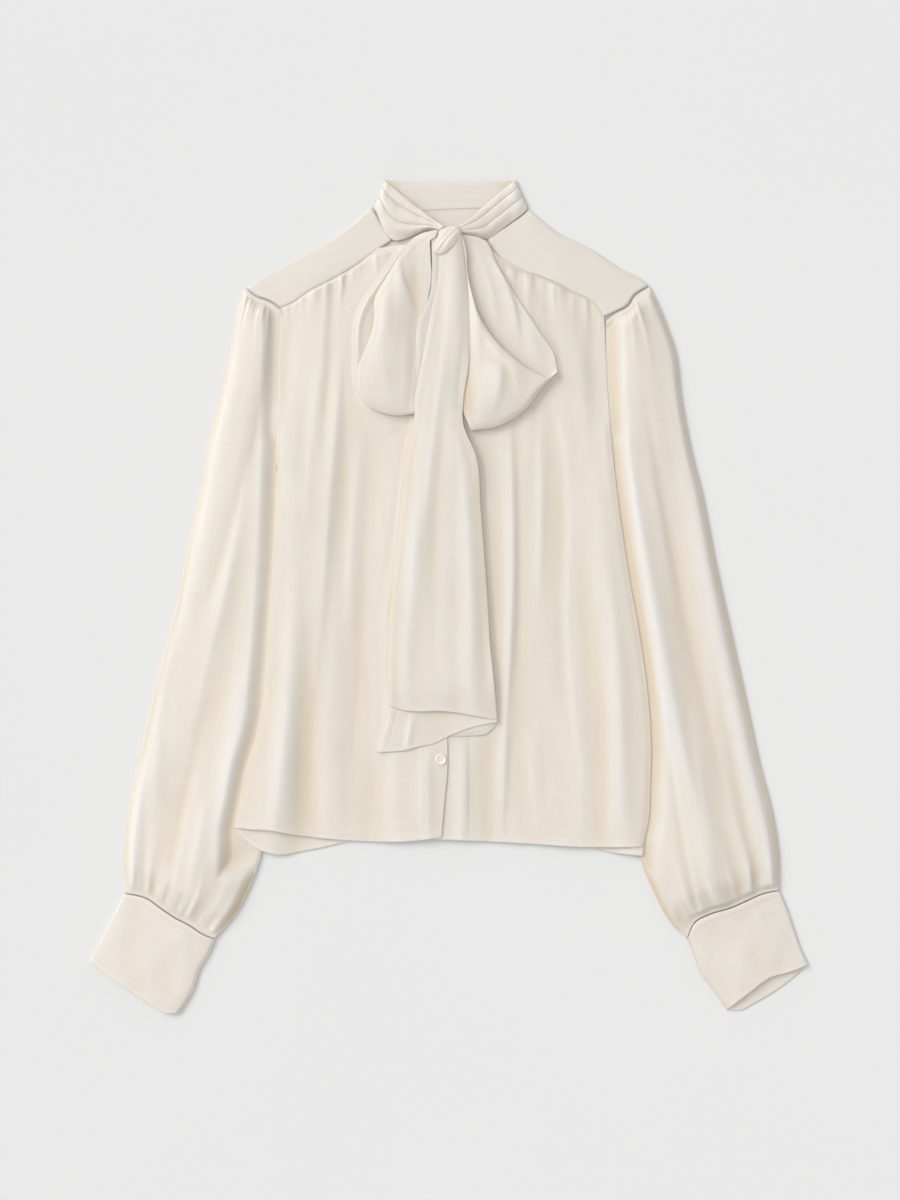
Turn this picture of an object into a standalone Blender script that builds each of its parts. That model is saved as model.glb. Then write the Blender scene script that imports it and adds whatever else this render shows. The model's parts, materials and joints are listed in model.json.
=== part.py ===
# Ivory bow blouse, laid flat and seen from above.
# Lengths are in millimetres until an object is made. +X is to the right of the flat blouse,
# +Y runs towards the collar and +Z up off the table. "Right" and "left" in the names are the
# wearer's own, so the right front and the right sleeve lie on the -X side.

import math

import bmesh
import bpy
import numpy as np

MM = 0.001

# Cloth and seams
WALL = 1.2
HALF_WALL = WALL / 2
SEAM_GAP = 0.8
TUBE_SEAM_GAP = 0.95
TUBE_SEAM_SIDE = 0.3
LAYER_GAP = 0.5
SIDE_SEAM_GAP = 0.35
CORNER_COSINE = 0.55

# How the layers lie on each other
TUBE_EDGE_RISE = 2.4
EDGE_STEP_LOWER = 0.12
EDGE_STEP_UPPER = 0.35
SLEEVE_PUFF = 2.3
CUFF_PUFF = 0.9
BODY_LIFT = 4.6
LIFT_START = 4.0
LIFT_RUN = 34.0
LIFT_TOP_Y = 212.0
LIFT_FULL_Y = 140.0
ARMHOLE_RISE = 1.1
ARMHOLE_RISE_START_Y = 126.0
ARMHOLE_RISE_RUN = 24.0
FRONT_PUFF = 1.5
PUFF_RUN = 40.0
OVERLAP_START_X = -32.0
OVERLAP_FULL_X = -18.0
YOKE_PUFF = 0.8

# Centre front and buttons
UNDERLAP_X = -15.5
BUTTON_X = -7.7
BUTTON_LOWEST_Y = -154.0
BUTTON_SPACING = 83.0
BUTTON_COUNT = 6
BUTTON_RADIUS = 5.3
BUTTON_HEIGHT = 2.2
BUTTON_DISH_RADIUS = 3.7
BUTTON_DISH_DEPTH = 0.6
BUTTON_SIDES = 12

# Bow
KNOT_CENTRE = (0.5, 339.0, 14.5)
KNOT_RADII = (11.8, 10.8, 7.4)
KNOT_GROOVE = 1.3
BOW_LOW_Z = 8.0
TAIL_BACK_Z = 9.5
TAIL_FRONT_Z = 11.9
TAIL_END_DROP = 2.3
TAIL_DROP_START_Y = -84.0
TAIL_DROP_END_Y = -118.0
LOOP_RISE = 5.0
LOOP_BEND = 2.2
KNOT_CLIMB_LOWER = 1.6
KNOT_CLIMB_UPPER = 2.6
KNOT_CLIMB_RUN = 0.12
TAIL_CLIMB = 2.4
TAIL_CLIMB_RUN = 0.06

# Outlines, as points in plan. Columns: x, y.
BODY_RIGHT_SIDE = (
    (-159.6, 274.2),
    (-161.8, 187.0),
    (-163.4, 101.7),
    (-166.3, 35.2),
    (-172.0, -40.9),
    (-177.7, -109.3),
    (-182.5, -132.0),
    (-191.9, -160.6),
    (-202.4, -211.9),
    (-204.3, -219.0),
)
BODY_LEFT_SIDE = (
    (149.2, 263.2),
    (151.1, 187.2),
    (156.8, 120.7),
    (168.2, 35.2),
    (181.5, -40.9),
    (189.1, -97.9),
    (191.9, -145.4),
    (191.0, -177.7),
    (189.1, -213.8),
    (183.6, -236.8),
)
BODY_LEFT_SIDE_BACK = BODY_LEFT_SIDE[:-1] + ((183.4, -245.6),)
YOKE_RIGHT_SEAM = (
    (-159.3, 274.6),
    (-148.3, 279.3),
    (-132.5, 290.3),
    (-116.9, 298.3),
    (-99.5, 307.8),
    (-86.9, 315.6),
    (-71.3, 326.6),
    (-54.0, 338.7),
)
YOKE_LEFT_SEAM = (
    (147.3, 265.8),
    (141.6, 274.6),
    (131.3, 283.2),
    (118.3, 289.0),
    (102.2, 297.7),
    (83.3, 305.0),
    (67.4, 310.1),
    (48.5, 319.6),
    (37.0, 339.0),
)
FRONT_CORNER_RIGHT = (-52.0, 333.0)
FRONT_CORNER_LEFT = (36.0, 333.0)
CENTRE_TOP_RIGHT = (-1.4, 329.0)
CENTRE_TOP_LEFT = (UNDERLAP_X, 329.0)
CENTRE_FRONT = (
    CENTRE_TOP_RIGHT,
    (-1.4, -134.9),
    (-1.0, -159.6),
    (-3.8, -191.9),
    (-7.2, -228.0),
)
UNDERLAP = (CENTRE_TOP_LEFT, (UNDERLAP_X, 60.0), (UNDERLAP_X, -230.0))
HEM_RIGHT_FRONT = (
    (-204.3, -219.0),
    (-188.5, -220.4),
    (-166.6, -221.8),
    (-149.2, -225.4),
    (-122.6, -229.0),
    (-94.0, -231.3),
    (-36.1, -231.8),
    (-7.2, -228.0),
)
HEM_LEFT_FRONT = (
    (UNDERLAP_X, -230.0),
    (42.3, -232.5),
    (74.1, -234.3),
    (132.0, -237.5),
    (153.9, -237.5),
    (183.6, -236.8),
)
HEM_BACK = (
    (-204.3, -219.0),
    (-184.3, -237.5),
    (-166.6, -244.2),
    (-130.2, -240.0),
    (-91.2, -231.8),
    (-40.0, -228.5),
    (40.0, -228.5),
    (110.0, -232.5),
    (153.9, -242.7),
    (183.4, -245.6),
)
BACK_YOKE_SEAM_Y = 261.0
SHOULDER_RIGHT = (
    (-192.5, 293.6),
    (-181.5, 300.2),
    (-142.0, 322.0),
    (-97.9, 348.7),
    (-73.4, 370.0),
)
SHOULDER_LEFT = (
    (189.5, 295.5),
    (183.7, 300.7),
    (164.8, 310.8),
    (135.7, 329.7),
    (99.4, 348.7),
    (77.0, 367.2),
)
YOKE_RIGHT_OUTER = ((-192.5, 293.6), (-181.5, 285.7), (-168.8, 280.9), (-159.3, 274.6))
YOKE_LEFT_OUTER = ((189.5, 295.5), (174.8, 286.1), (169.1, 277.4), (156.1, 270.1), (147.3, 265.8))
YOKE_RIGHT_NECK = ((-73.4, 370.0), (-61.0, 349.0), (-54.0, 338.7))
YOKE_LEFT_NECK = ((77.0, 367.2), (56.0, 352.0), (37.0, 339.0))
NECK_BACK = (
    (-72.8, 368.2),
    (-50.0, 366.4),
    (-25.8, 367.3),
    (0.0, 368.7),
    (34.2, 370.0),
    (55.0, 368.6),
    (76.4, 365.4),
)
ARMPIT_RIGHT_Y = 149.0
ARMPIT_LEFT_Y = 150.0
SLEEVE_RIGHT_OUTER = (
    (-193.7, 292.4),
    (-200.5, 272.7),
    (-207.1, 233.7),
    (-215.7, 191.9),
    (-226.6, 151.1),
    (-236.6, 96.9),
    (-248.9, 40.9),
    (-259.4, -12.4),
    (-273.6, -64.6),
    (-287.9, -126.4),
    (-301.2, -185.3),
    (-307.3, -230.9),
    (-308.8, -259.4),
    (-307.9, -280.6),
)
SLEEVE_RIGHT_INNER = (
    (-161.4, 273.0),
    (-163.0, 187.0),
    (-163.7, 149.0),
    (-162.0, 118.0),
    (-157.0, 90.0),
    (-156.0, 40.0),
    (-157.0, -3.0),
    (-160.5, -98.0),
    (-168.0, -183.0),
    (-177.7, -240.4),
    (-182.4, -257.5),
    (-191.0, -279.3),
    (-201.4, -299.3),
    (-212.8, -313.4),
    (-221.8, -324.2),
)
SLEEVE_RIGHT_HEAD = ((-193.7, 292.4), (-182.5, 284.2), (-169.8, 279.3), (-161.4, 273.0))
CUFF_RIGHT_SEAM = (
    (-308.2, -281.6),
    (-287.6, -286.4),
    (-271.7, -297.4),
    (-260.9, -304.6),
    (-245.1, -313.0),
    (-234.3, -320.3),
    (-222.1, -325.2),
)
CUFF_RIGHT_OUTER = ((-308.2, -281.6), (-316.0, -297.0), (-330.0, -324.0), (-341.0, -345.8))
CUFF_RIGHT_INNER = ((-222.1, -325.2), (-229.3, -341.0), (-236.6, -353.0), (-242.7, -372.4), (-256.0, -394.8))
CUFF_RIGHT_MOUTH = (
    (-341.0, -345.8),
    (-313.0, -367.0),
    (-282.7, -386.9),
    (-268.2, -395.2),
    (-256.0, -394.8),
)
SLEEVE_LEFT_OUTER = (
    (190.7, 294.3),
    (196.7, 282.2),
    (208.1, 253.7),
    (214.7, 234.7),
    (220.4, 191.9),
    (229.9, 139.7),
    (240.4, 97.9),
    (252.6, 35.2),
    (263.0, -12.3),
    (275.3, -67.8),
    (285.6, -115.2),
    (295.9, -162.6),
    (306.2, -201.8),
    (313.4, -249.1),
    (313.2, -278.1),
)
SLEEVE_LEFT_INNER = (
    (151.4, 263.2),
    (152.4, 187.0),
    (155.4, 150.0),
    (155.8, 118.0),
    (153.5, 88.0),
    (158.0, 35.0),
    (166.0, -41.0),
    (170.0, -98.0),
    (172.0, -145.0),
    (175.0, -200.0),
    (181.5, -246.4),
    (188.8, -267.0),
    (197.2, -285.2),
    (204.4, -299.7),
    (216.0, -315.6),
    (226.0, -323.5),
)
SLEEVE_LEFT_HEAD = ((190.7, 294.3), (176.3, 284.5), (170.7, 275.7), (157.5, 268.4), (151.4, 263.2))
CUFF_LEFT_SEAM = (
    (313.5, -279.1),
    (296.6, -282.7),
    (284.4, -288.2),
    (266.3, -296.1),
    (249.3, -301.0),
    (233.5, -309.5),
    (226.3, -324.5),
)
CUFF_LEFT_OUTER = ((313.5, -279.1), (319.6, -293.6), (328.0, -317.9), (332.9, -332.4), (340.8, -349.0))
CUFF_LEFT_INNER = ((226.3, -324.5), (233.5, -342.1), (238.5, -356.6), (249.3, -371.3), (263.8, -391.8))
CUFF_LEFT_MOUTH = (
    (340.8, -349.0),
    (324.4, -355.5),
    (303.8, -361.6),
    (285.0, -375.5),
    (263.8, -391.8),
)
CUFF_LEFT_MOUTH_BACK = (
    (340.8, -349.0),
    (326.8, -361.6),
    (308.7, -374.9),
    (290.5, -385.7),
    (274.7, -393.0),
    (263.8, -391.8),
)

# Folds in plan. Columns: height, half width, start, middle, end. A trough has a negative height.
FRONT_RIGHT_FOLDS = (
    (1.5, 7.0, (-143, 262), (-155, 140), (-161, 20)),
    (1.7, 6.0, (-94, 296), (-111, 119), (-125, -60)),
    (0.9, 4.5, (-122, 215), (-131, 145), (-137, 60)),
    (-0.8, 14.0, (-74, 190), (-78, 0), (-70, -225)),
    (1.3, 8.0, (-48, 150), (-55, -60), (-50, -232)),
    (1.0, 9.0, (-104, 20), (-112, -110), (-118, -232)),
    (1.2, 8.0, (-146, 0), (-157, -110), (-166, -222)),
)
FRONT_LEFT_FOLDS = (
    (1.6, 5.0, (58, 168), (60, 10), (46, -230)),
    (-0.9, 7.0, (30, 160), (35, 10), (26, -130)),
    (0.9, 3.5, (86, 150), (87, 80), (84, 20)),
    (1.4, 5.5, (103, 180), (117, 60), (125, -40)),
    (-0.9, 5.0, (92, 290), (93, 250), (90, 200)),
    (1.0, 6.0, (66, 300), (70, 240), (66, 190)),
    (1.2, 7.0, (112, 285), (126, 210), (133, 110)),
    (1.0, 9.0, (108, -85), (122, -160), (132, -236)),
    (0.9, 8.0, (140, 90), (158, -60), (160, -225)),
)
SLEEVE_RIGHT_FOLDS = (
    (-1.5, 6.0, (-166, 240), (-197, 98), (-236, -30)),
    (1.1, 7.0, (-180, 200), (-205, 30), (-238, -110)),
    (-1.2, 7.0, (-217, -80), (-249, -185), (-266, -285)),
    (1.2, 6.0, (-229, -185), (-238, -240), (-247, -285)),
    (1.2, 8.0, (-285, -140), (-296, -200), (-300, -262)),
    (1.0, 9.0, (-212, 190), (-232, 60), (-258, -60)),
)
SLEEVE_LEFT_FOLDS = (
    (1.3, 9.0, (197, 280), (236, 50), (297, -250)),
    (1.2, 7.0, (156, 190), (187, 30), (250, -260)),
    (-1.1, 7.0, (176, 240), (207, 60), (262, -180)),
    (-0.9, 8.0, (250, -60), (276, -180), (290, -270)),
)
SLEEVE_LEFT_STEP = (
    (148.6, 261.3),
    (161.1, 101.7),
    (184.7, -37.0),
    (209.4, -162.6),
    (224.0, -250.0),
    (236.0, -300.0),
)
SLEEVE_STEP_RISE = 1.5
SLEEVE_STEP_RUN = 9.0

# Gathers. Columns: count, height, reach from the seam.
GATHERS = {
    "front yoke": (12, 1.1, 34.0),
    "sleeve head": (6, 0.8, 30.0),
    "sleeve cuff": (9, 1.2, 30.0),
}

# Colours of the pieces: red, green, blue, roughness
IVORY = (0.86, 0.82, 0.74, 0.62)
IVORY_INSIDE = (0.80, 0.76, 0.69, 0.70)
PEARL = (0.88, 0.85, 0.78, 0.25)


def smooth_step(value):
    """Ease from 0 to 1 as the value goes from 0 to 1."""
    t = np.clip(value, 0.0, 1.0)
    return t * t * (3.0 - 2.0 * t)


def read_curve(points, share):
    """Read a smooth curve through the points at shares of its length, with its sharp corners kept."""
    pts = np.array(points, dtype=float)
    lengths = np.linalg.norm(np.diff(pts, axis=0), axis=1)
    knots = np.concatenate(([0.0], np.cumsum(lengths))) / lengths.sum()
    gaps = np.diff(knots)
    slopes = np.diff(pts, axis=0) / gaps[:, None]
    arriving = np.vstack((slopes[:1], slopes))
    leaving = np.vstack((slopes, slopes[-1:]))
    for i in range(1, len(pts) - 1):
        before, after = slopes[i - 1], slopes[i]
        cosine = before.dot(after) / (np.linalg.norm(before) * np.linalg.norm(after))
        if cosine > CORNER_COSINE:
            mean = (before * gaps[i] + after * gaps[i - 1]) / (gaps[i - 1] + gaps[i])
            arriving[i] = mean
            leaving[i] = mean
    share = np.clip(np.asarray(share, dtype=float), 0.0, 1.0)
    index = np.clip(np.searchsorted(knots, share, side="right") - 1, 0, len(gaps) - 1)
    width = gaps[index]
    t = (share - knots[index]) / width
    t = t[..., None]
    width = width[..., None]
    start = (2 * t ** 3 - 3 * t ** 2 + 1) * pts[index]
    start_slope = (t ** 3 - 2 * t ** 2 + t) * width * leaving[index]
    end = (3 * t ** 2 - 2 * t ** 3) * pts[index + 1]
    end_slope = (t ** 3 - t ** 2) * width * arriving[index + 1]
    return start + start_slope + end + end_slope


def shift(points, dx, dy):
    """Move an outline in plan."""
    return tuple((x + dx, y + dy) for x, y in points)


def patch(top, bottom, left, right):
    """Return a function that fills four edges with cloth: u runs along the top, v down the sides."""
    corner_tl = read_curve(top, 0.0)
    corner_tr = read_curve(top, 1.0)
    corner_bl = read_curve(bottom, 0.0)
    corner_br = read_curve(bottom, 1.0)

    def place(u, v):
        across = u[..., None]
        down = v[..., None]
        ruled = (1 - down) * read_curve(top, u) + down * read_curve(bottom, u)
        sides = (1 - across) * read_curve(left, v) + across * read_curve(right, v)
        corners = (1 - down) * ((1 - across) * corner_tl + across * corner_tr)
        corners = corners + down * ((1 - across) * corner_bl + across * corner_br)
        return ruled + sides - corners

    return place


def distance_to(x, y, points, pieces=14):
    """Distance in plan to a curve, and the share of its length where it is nearest."""
    shares = np.linspace(0.0, 1.0, pieces + 1)
    line = read_curve(points, shares)
    best = np.full(np.shape(x), 1.0e9)
    where = np.zeros(np.shape(x))
    for i in range(pieces):
        ax, ay = line[i]
        bx, by = line[i + 1]
        dx, dy = bx - ax, by - ay
        t = np.clip(((x - ax) * dx + (y - ay) * dy) / (dx * dx + dy * dy), 0.0, 1.0)
        gap = np.hypot(x - ax - t * dx, y - ay - t * dy)
        nearer = gap < best
        best = np.where(nearer, gap, best)
        where = np.where(nearer, (i + t) / pieces, where)
    return best, where


def fold_heights(x, y, folds):
    """Add up soft ridges and troughs, each fading out at both of its ends."""
    total = np.zeros(np.shape(x))
    for height, half_width, start, middle, end in folds:
        gap, where = distance_to(x, y, (start, middle, end))
        fade = np.sin(np.pi * np.clip(where, 0.02, 0.98)) ** 0.5
        total = total + height * fade * np.exp(-((gap / half_width) ** 2))
    return total


def gather_heights(u, distance, kind, phase):
    """Uneven little ridges side by side along a seam, fading away from it."""
    count, height, reach = GATHERS[kind]
    total = np.zeros(np.shape(u))
    for i in range(count):
        middle = (i + 0.5 + 0.22 * math.sin(2.4 * i + phase)) / count
        rise = height * (0.75 + 0.25 * math.sin(1.7 * i + 2.0 * phase))
        run = reach * (0.7 + 0.4 * math.sin(2.9 * i + phase))
        ridge = np.exp(-(((u - middle) * count / 0.34) ** 2))
        total = total + rise * ridge * np.exp(-((distance / run) ** 1.4))
    return total


def side_x(points, y):
    """The x of a side edge at each height y."""
    rows = sorted(points, key=lambda point: point[1])
    return np.interp(y, [row[1] for row in rows], [row[0] for row in rows])


def body_lift(x, y):
    """How far the body is lifted where it lies over the inner part of a sleeve."""
    right = side_x(SLEEVE_RIGHT_INNER, y) + LIFT_START - x
    left = x - side_x(SLEEVE_LEFT_INNER, y) + LIFT_START
    over_sleeve = np.maximum(right, left) / LIFT_RUN + 1.0
    down_body = (LIFT_TOP_Y - y) / (LIFT_TOP_Y - LIFT_FULL_Y)
    return BODY_LIFT * smooth_step(over_sleeve) * smooth_step(down_body)


def inside_body(x, y):
    """Ease from 0 at the side edges of the body to 1 well inside it."""
    right = x - side_x(BODY_RIGHT_SIDE, y)
    left = side_x(BODY_LEFT_SIDE_BACK, y) - x
    return smooth_step(np.minimum(right, left) / PUFF_RUN)


def back_height(x, y):
    """Middle of the back panel's wall."""
    return HALF_WALL + body_lift(x, y)


def front_height(x, y):
    """Middle of a front's wall, without its folds."""
    seam = WALL + SIDE_SEAM_GAP
    armhole = ARMHOLE_RISE * smooth_step((y - ARMHOLE_RISE_START_Y) / ARMHOLE_RISE_RUN)
    inside = inside_body(x, y)
    return back_height(x, y) + seam + FRONT_PUFF * inside + armhole * (1.0 - inside)


def overlap_rise(x):
    """The right front climbs onto the left front near the centre."""
    run = (x - OVERLAP_START_X) / (OVERLAP_FULL_X - OVERLAP_START_X)
    return (WALL + LAYER_GAP) * smooth_step(run)


def front_folds(x, y, u, v, folds, centre_side, seam_length, phase):
    """Folds and gathers of one front, fading out at its side edge and under the buttons."""
    calm = smooth_step(np.abs(x - centre_side) / 18.0)
    room = 0.15 + 0.85 * inside_body(x, y)
    raised = fold_heights(x, y, folds) + gather_heights(u, v * seam_length, "front yoke", phase)
    return np.maximum(raised, -FRONT_PUFF * 0.8) * calm * room


def link(obj):
    """Put an object in the scene."""
    bpy.context.scene.collection.objects.link(obj)
    return obj


def make_material(name, finish):
    """A plain Principled material in the cloth's or button's colour."""
    material = bpy.data.materials.new(name)
    material.use_nodes = True
    shader = material.node_tree.nodes["Principled BSDF"]
    shader.inputs["Base Color"].default_value = (finish[0], finish[1], finish[2], 1.0)
    shader.inputs["Roughness"].default_value = finish[3]
    shader.inputs["Metallic"].default_value = 0.0
    return material


def finish_object(name, bm, finish):
    """Turn a bmesh in millimetres into a named object in metres with its own material."""
    bmesh.ops.scale(bm, vec=(MM, MM, MM), verts=bm.verts)
    mesh = bpy.data.meshes.new(name)
    bm.to_mesh(mesh)
    bm.free()
    mesh.materials.append(make_material(name + "_finish", finish))
    mesh.shade_smooth()
    return link(bpy.data.objects.new(name, mesh))


def placed_grid(points):
    """A grid of faces whose corners are the given points, laid out as columns by rows."""
    columns, rows = points.shape[0], points.shape[1]
    bm = bmesh.new()
    bmesh.ops.create_grid(bm, x_segments=columns - 1, y_segments=rows - 1, size=0.5)
    for vert in bm.verts:
        i = round((vert.co.x + 0.5) * (columns - 1))
        j = round((vert.co.y + 0.5) * (rows - 1))
        vert.co = points[i, j]
    return bm


def flat_panel(name, place, height, columns, rows, finish):
    """A panel that lies flat: its grid is raised to the heights, then given its wall upwards."""
    u, v = np.meshgrid(columns, rows, indexing="ij")
    plan = place(u, v)
    z = height(plan[..., 0], plan[..., 1], u, v) - HALF_WALL
    bm = placed_grid(np.dstack((plan, z)))
    made = bmesh.ops.extrude_face_region(bm, geom=bm.faces[:], use_keep_orig=True)
    raised = [item for item in made["geom"] if isinstance(item, bmesh.types.BMVert)]
    bmesh.ops.translate(bm, vec=(0.0, 0.0, WALL), verts=raised)
    bmesh.ops.recalc_face_normals(bm, faces=bm.faces[:])
    return finish_object(name, bm, finish)


def walled(obj):
    """Give a bent sheet its wall, half to each side."""
    modifier = obj.modifiers.new("wall", "SOLIDIFY")
    modifier.thickness = WALL * MM
    modifier.offset = 0.0
    modifier.use_even_offset = False
    return obj


def uneven(count, dense_start, dense_end):
    """Shares from 0 to 1, closer together at the ends that are named dense."""
    t = np.linspace(0.0, 1.0, count)
    share = t - dense_start * np.sin(2 * np.pi * t) / (2 * np.pi) * 0.5
    share = share - dense_end * np.sin(2 * np.pi * t) / (2 * np.pi) * 0.5
    return share


def flattened_tube(name, upper, lower, upper_height, closed_below_y, counts, finish):
    """A tube of cloth lying flat: a lower layer on the table, rounded edges and a raised upper layer."""
    upper_count, lower_count, rows = counts
    lower_z = HALF_WALL
    ring = [("inner lower", 1.0)]
    for share in np.linspace(1.0, 0.0, lower_count):
        ring.append(("lower", share))
    ring.append(("outer", 0.0))
    for share in np.linspace(0.0, 1.0, upper_count):
        ring.append(("upper", share))
    ring.append(("inner upper", 1.0))
    points = np.zeros((len(ring), len(rows), 3))
    one = np.ones(1)
    for j, row in enumerate(rows):
        v = np.array([row])
        span = np.linalg.norm(upper(one, v)[0] - upper(0 * one, v)[0])
        bend = (TUBE_EDGE_RISE / 2 + HALF_WALL) / span
        rim = HALF_WALL / span
        open_row = upper(one, v)[0][1] > closed_below_y
        far = 1.0 if open_row else 1.0 - bend
        for i, (layer, share) in enumerate(ring):
            if layer == "lower":
                plan = lower(np.array([bend + share * (far - bend)]), v)[0]
                z = lower_z
            elif layer == "upper":
                u = np.array([bend + share * (far - bend)])
                plan = upper(u, v)[0]
                z = upper_height(plan[0], plan[1], u[0], row)
            elif layer == "outer":
                plan = upper(np.array([rim]), v)[0]
                z = lower_z + TUBE_EDGE_RISE / 2
            elif open_row:
                above = layer == "inner upper"
                plan = (upper if above else lower)(one, v)[0]
                z = lower_z + (TUBE_EDGE_RISE if above else 0.0)
            else:
                plan = upper(np.array([1.0 - rim]), v)[0]
                z = lower_z + TUBE_EDGE_RISE / 2
            points[i, j] = (plan[0], plan[1], z)
    bm = placed_grid(spread_open_edges(points, rows, upper, closed_below_y))
    bmesh.ops.remove_doubles(bm, verts=bm.verts, dist=0.01)
    bmesh.ops.recalc_face_normals(bm, faces=bm.faces[:])
    return walled(finish_object(name, bm, finish))


def open_row_count(rows, upper, closed_below_y):
    """How many rows of a tube lie above the armpit, where its inner side is open to the body."""
    ends = [upper(np.ones(1), np.array([row]))[0][1] for row in rows]
    return sum(1 for y in ends if y > closed_below_y)


def spread_open_edges(points, rows, upper, closed_below_y):
    """Along the armhole, step the last two columns apart so that no two points meet."""
    for j in range(open_row_count(rows, upper, closed_below_y)):
        points[1, j] = points[0, j] + EDGE_STEP_LOWER * (points[2, j] - points[0, j])
        points[-2, j] = points[-1, j] + EDGE_STEP_UPPER * (points[-3, j] - points[-1, j])
    return points


def sleeve_height(side, folds, head_phase, cuff_phase, length):
    """Upper layer of a sleeve: puffed, creased along its length and gathered at both ends."""
    def height(x, y, u, v):
        edge = side_x(BODY_RIGHT_SIDE if side < 0 else BODY_LEFT_SIDE_BACK, y)
        clear = side * (x - edge)
        below_hem = smooth_step((-248.0 - y) / 20.0)
        free = np.maximum(smooth_step((clear - 3.0) / 16.0), below_hem)
        above_armpit = smooth_step((y - 140.0) / 20.0)
        free = np.maximum(free, 0.45 * above_armpit)
        round_top = np.sin(np.pi * np.clip(u, 0.001, 0.999)) ** 0.5
        ease = smooth_step(np.minimum(v, 1.0 - v) / 0.06)
        puff = SLEEVE_PUFF * round_top * (0.35 + 0.65 * ease)
        creases = fold_heights(x, y, folds)
        if side > 0:
            creases = creases + SLEEVE_STEP_RISE * left_sleeve_step(x, y)
        gathers = gather_heights(u, v * length, "sleeve head", head_phase)
        gathers = gathers + gather_heights(u, (1.0 - v) * length, "sleeve cuff", cuff_phase)
        raised = np.maximum(puff + creases + gathers, 0.0)
        return HALF_WALL + TUBE_EDGE_RISE + raised * free * np.minimum(1.0, 3.0 * round_top - 0.3)
    return height


def left_sleeve_step(x, y):
    """The left sleeve's upper layer is folded up along a line beside the body."""
    line_x = side_x(SLEEVE_LEFT_STEP, y)
    return smooth_step((x - line_x + 1.0) / SLEEVE_STEP_RUN)


def cuff_height(x, y, u, v):
    """Upper layer of a cuff: smooth and a little raised."""
    round_top = np.sin(np.pi * np.clip(u, 0.001, 0.999)) ** 0.5
    return HALF_WALL + TUBE_EDGE_RISE + CUFF_PUFF * round_top


def build_sleeves_and_cuffs():
    """Two full sleeves, each gathered into a deep cuff."""
    sleeve_rows = np.concatenate((
        (0.0, 0.012, 0.035, 0.075, 0.13),
        np.linspace(0.2, 0.86, 7),
        (0.93, 0.965, 0.988, 1.0),
    ))
    cuff_rows = np.linspace(0.0, 1.0, 5)
    wrist = shift(CUFF_RIGHT_SEAM, TUBE_SEAM_SIDE, TUBE_SEAM_GAP)
    right = patch(SLEEVE_RIGHT_HEAD, wrist, SLEEVE_RIGHT_OUTER, SLEEVE_RIGHT_INNER)
    height = sleeve_height(-1, SLEEVE_RIGHT_FOLDS, 0.4, 1.1, 600.0)
    flattened_tube("sleeve_right", right, right, height, ARMPIT_RIGHT_Y, (22, 9, sleeve_rows), IVORY)
    wrist = shift(CUFF_LEFT_SEAM, -TUBE_SEAM_SIDE, TUBE_SEAM_GAP)
    left = patch(SLEEVE_LEFT_HEAD, wrist, SLEEVE_LEFT_OUTER, SLEEVE_LEFT_INNER)
    height = sleeve_height(1, SLEEVE_LEFT_FOLDS, 1.9, 0.3, 600.0)
    flattened_tube("sleeve_left", left, left, height, ARMPIT_LEFT_Y, (22, 9, sleeve_rows), IVORY)
    cuff = patch(CUFF_RIGHT_SEAM, CUFF_RIGHT_MOUTH, CUFF_RIGHT_OUTER, CUFF_RIGHT_INNER)
    flattened_tube("cuff_right", cuff, cuff, cuff_height, 0.0, (12, 10, cuff_rows), IVORY)
    upper = patch(CUFF_LEFT_SEAM, CUFF_LEFT_MOUTH, CUFF_LEFT_OUTER, CUFF_LEFT_INNER)
    lower = patch(CUFF_LEFT_SEAM, CUFF_LEFT_MOUTH_BACK, CUFF_LEFT_OUTER, CUFF_LEFT_INNER)
    flattened_tube("cuff_left", upper, lower, cuff_height, 0.0, (12, 10, cuff_rows), IVORY)


def build_body():
    """Back panel and two fronts, the right one lapping over the left at the centre."""
    top = ((-160.4, BACK_YOKE_SEAM_Y - SEAM_GAP), (149.1, BACK_YOKE_SEAM_Y - SEAM_GAP))
    left = (top[0],) + BODY_RIGHT_SIDE[1:]
    right = (top[1],) + BODY_LEFT_SIDE_BACK[1:]
    back = patch(top, HEM_BACK, left, right)
    columns = uneven(23, 0.75, 0.75)
    rows = np.concatenate(((0.0, 0.05), np.linspace(0.1, 0.3, 7), np.linspace(0.42, 1.0, 6)))
    flat_panel("back_panel", back, lambda x, y, u, v: back_height(x, y), columns, rows, IVORY_INSIDE)

    front_rows = np.concatenate(((0.0, 0.014, 0.035, 0.07), np.linspace(0.12, 0.4, 5), np.linspace(0.52, 1.0, 5)))
    top = shift(YOKE_RIGHT_SEAM[:-1], 0.0, -SEAM_GAP) + (FRONT_CORNER_RIGHT, CENTRE_TOP_RIGHT)
    right_front = patch(top, HEM_RIGHT_FRONT, (top[0],) + BODY_RIGHT_SIDE[1:], CENTRE_FRONT)

    def right_height(x, y, u, v):
        folds = front_folds(x, y, u * 1.45, v, FRONT_RIGHT_FOLDS, 0.0, 500.0, 0.7)
        return front_height(x, y) + overlap_rise(x) + folds

    columns = np.linspace(0.0, 1.0, 34)
    flat_panel("front_right", right_front, right_height, columns, front_rows, IVORY)

    seam = shift(YOKE_LEFT_SEAM[:-1], 0.0, -SEAM_GAP)
    top = (CENTRE_TOP_LEFT, FRONT_CORNER_LEFT) + tuple(reversed(seam))
    left_front = patch(top, HEM_LEFT_FRONT, UNDERLAP, (top[-1],) + BODY_LEFT_SIDE[1:])

    def left_height(x, y, u, v):
        folds = front_folds(x, y, (1.0 - u) * 1.45, v, FRONT_LEFT_FOLDS, -6.0, 500.0, 2.1)
        return front_height(x, y) + np.where(x > 0.0, folds, 0.0)

    flat_panel("front_left", left_front, left_height, columns, front_rows, IVORY)


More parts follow.
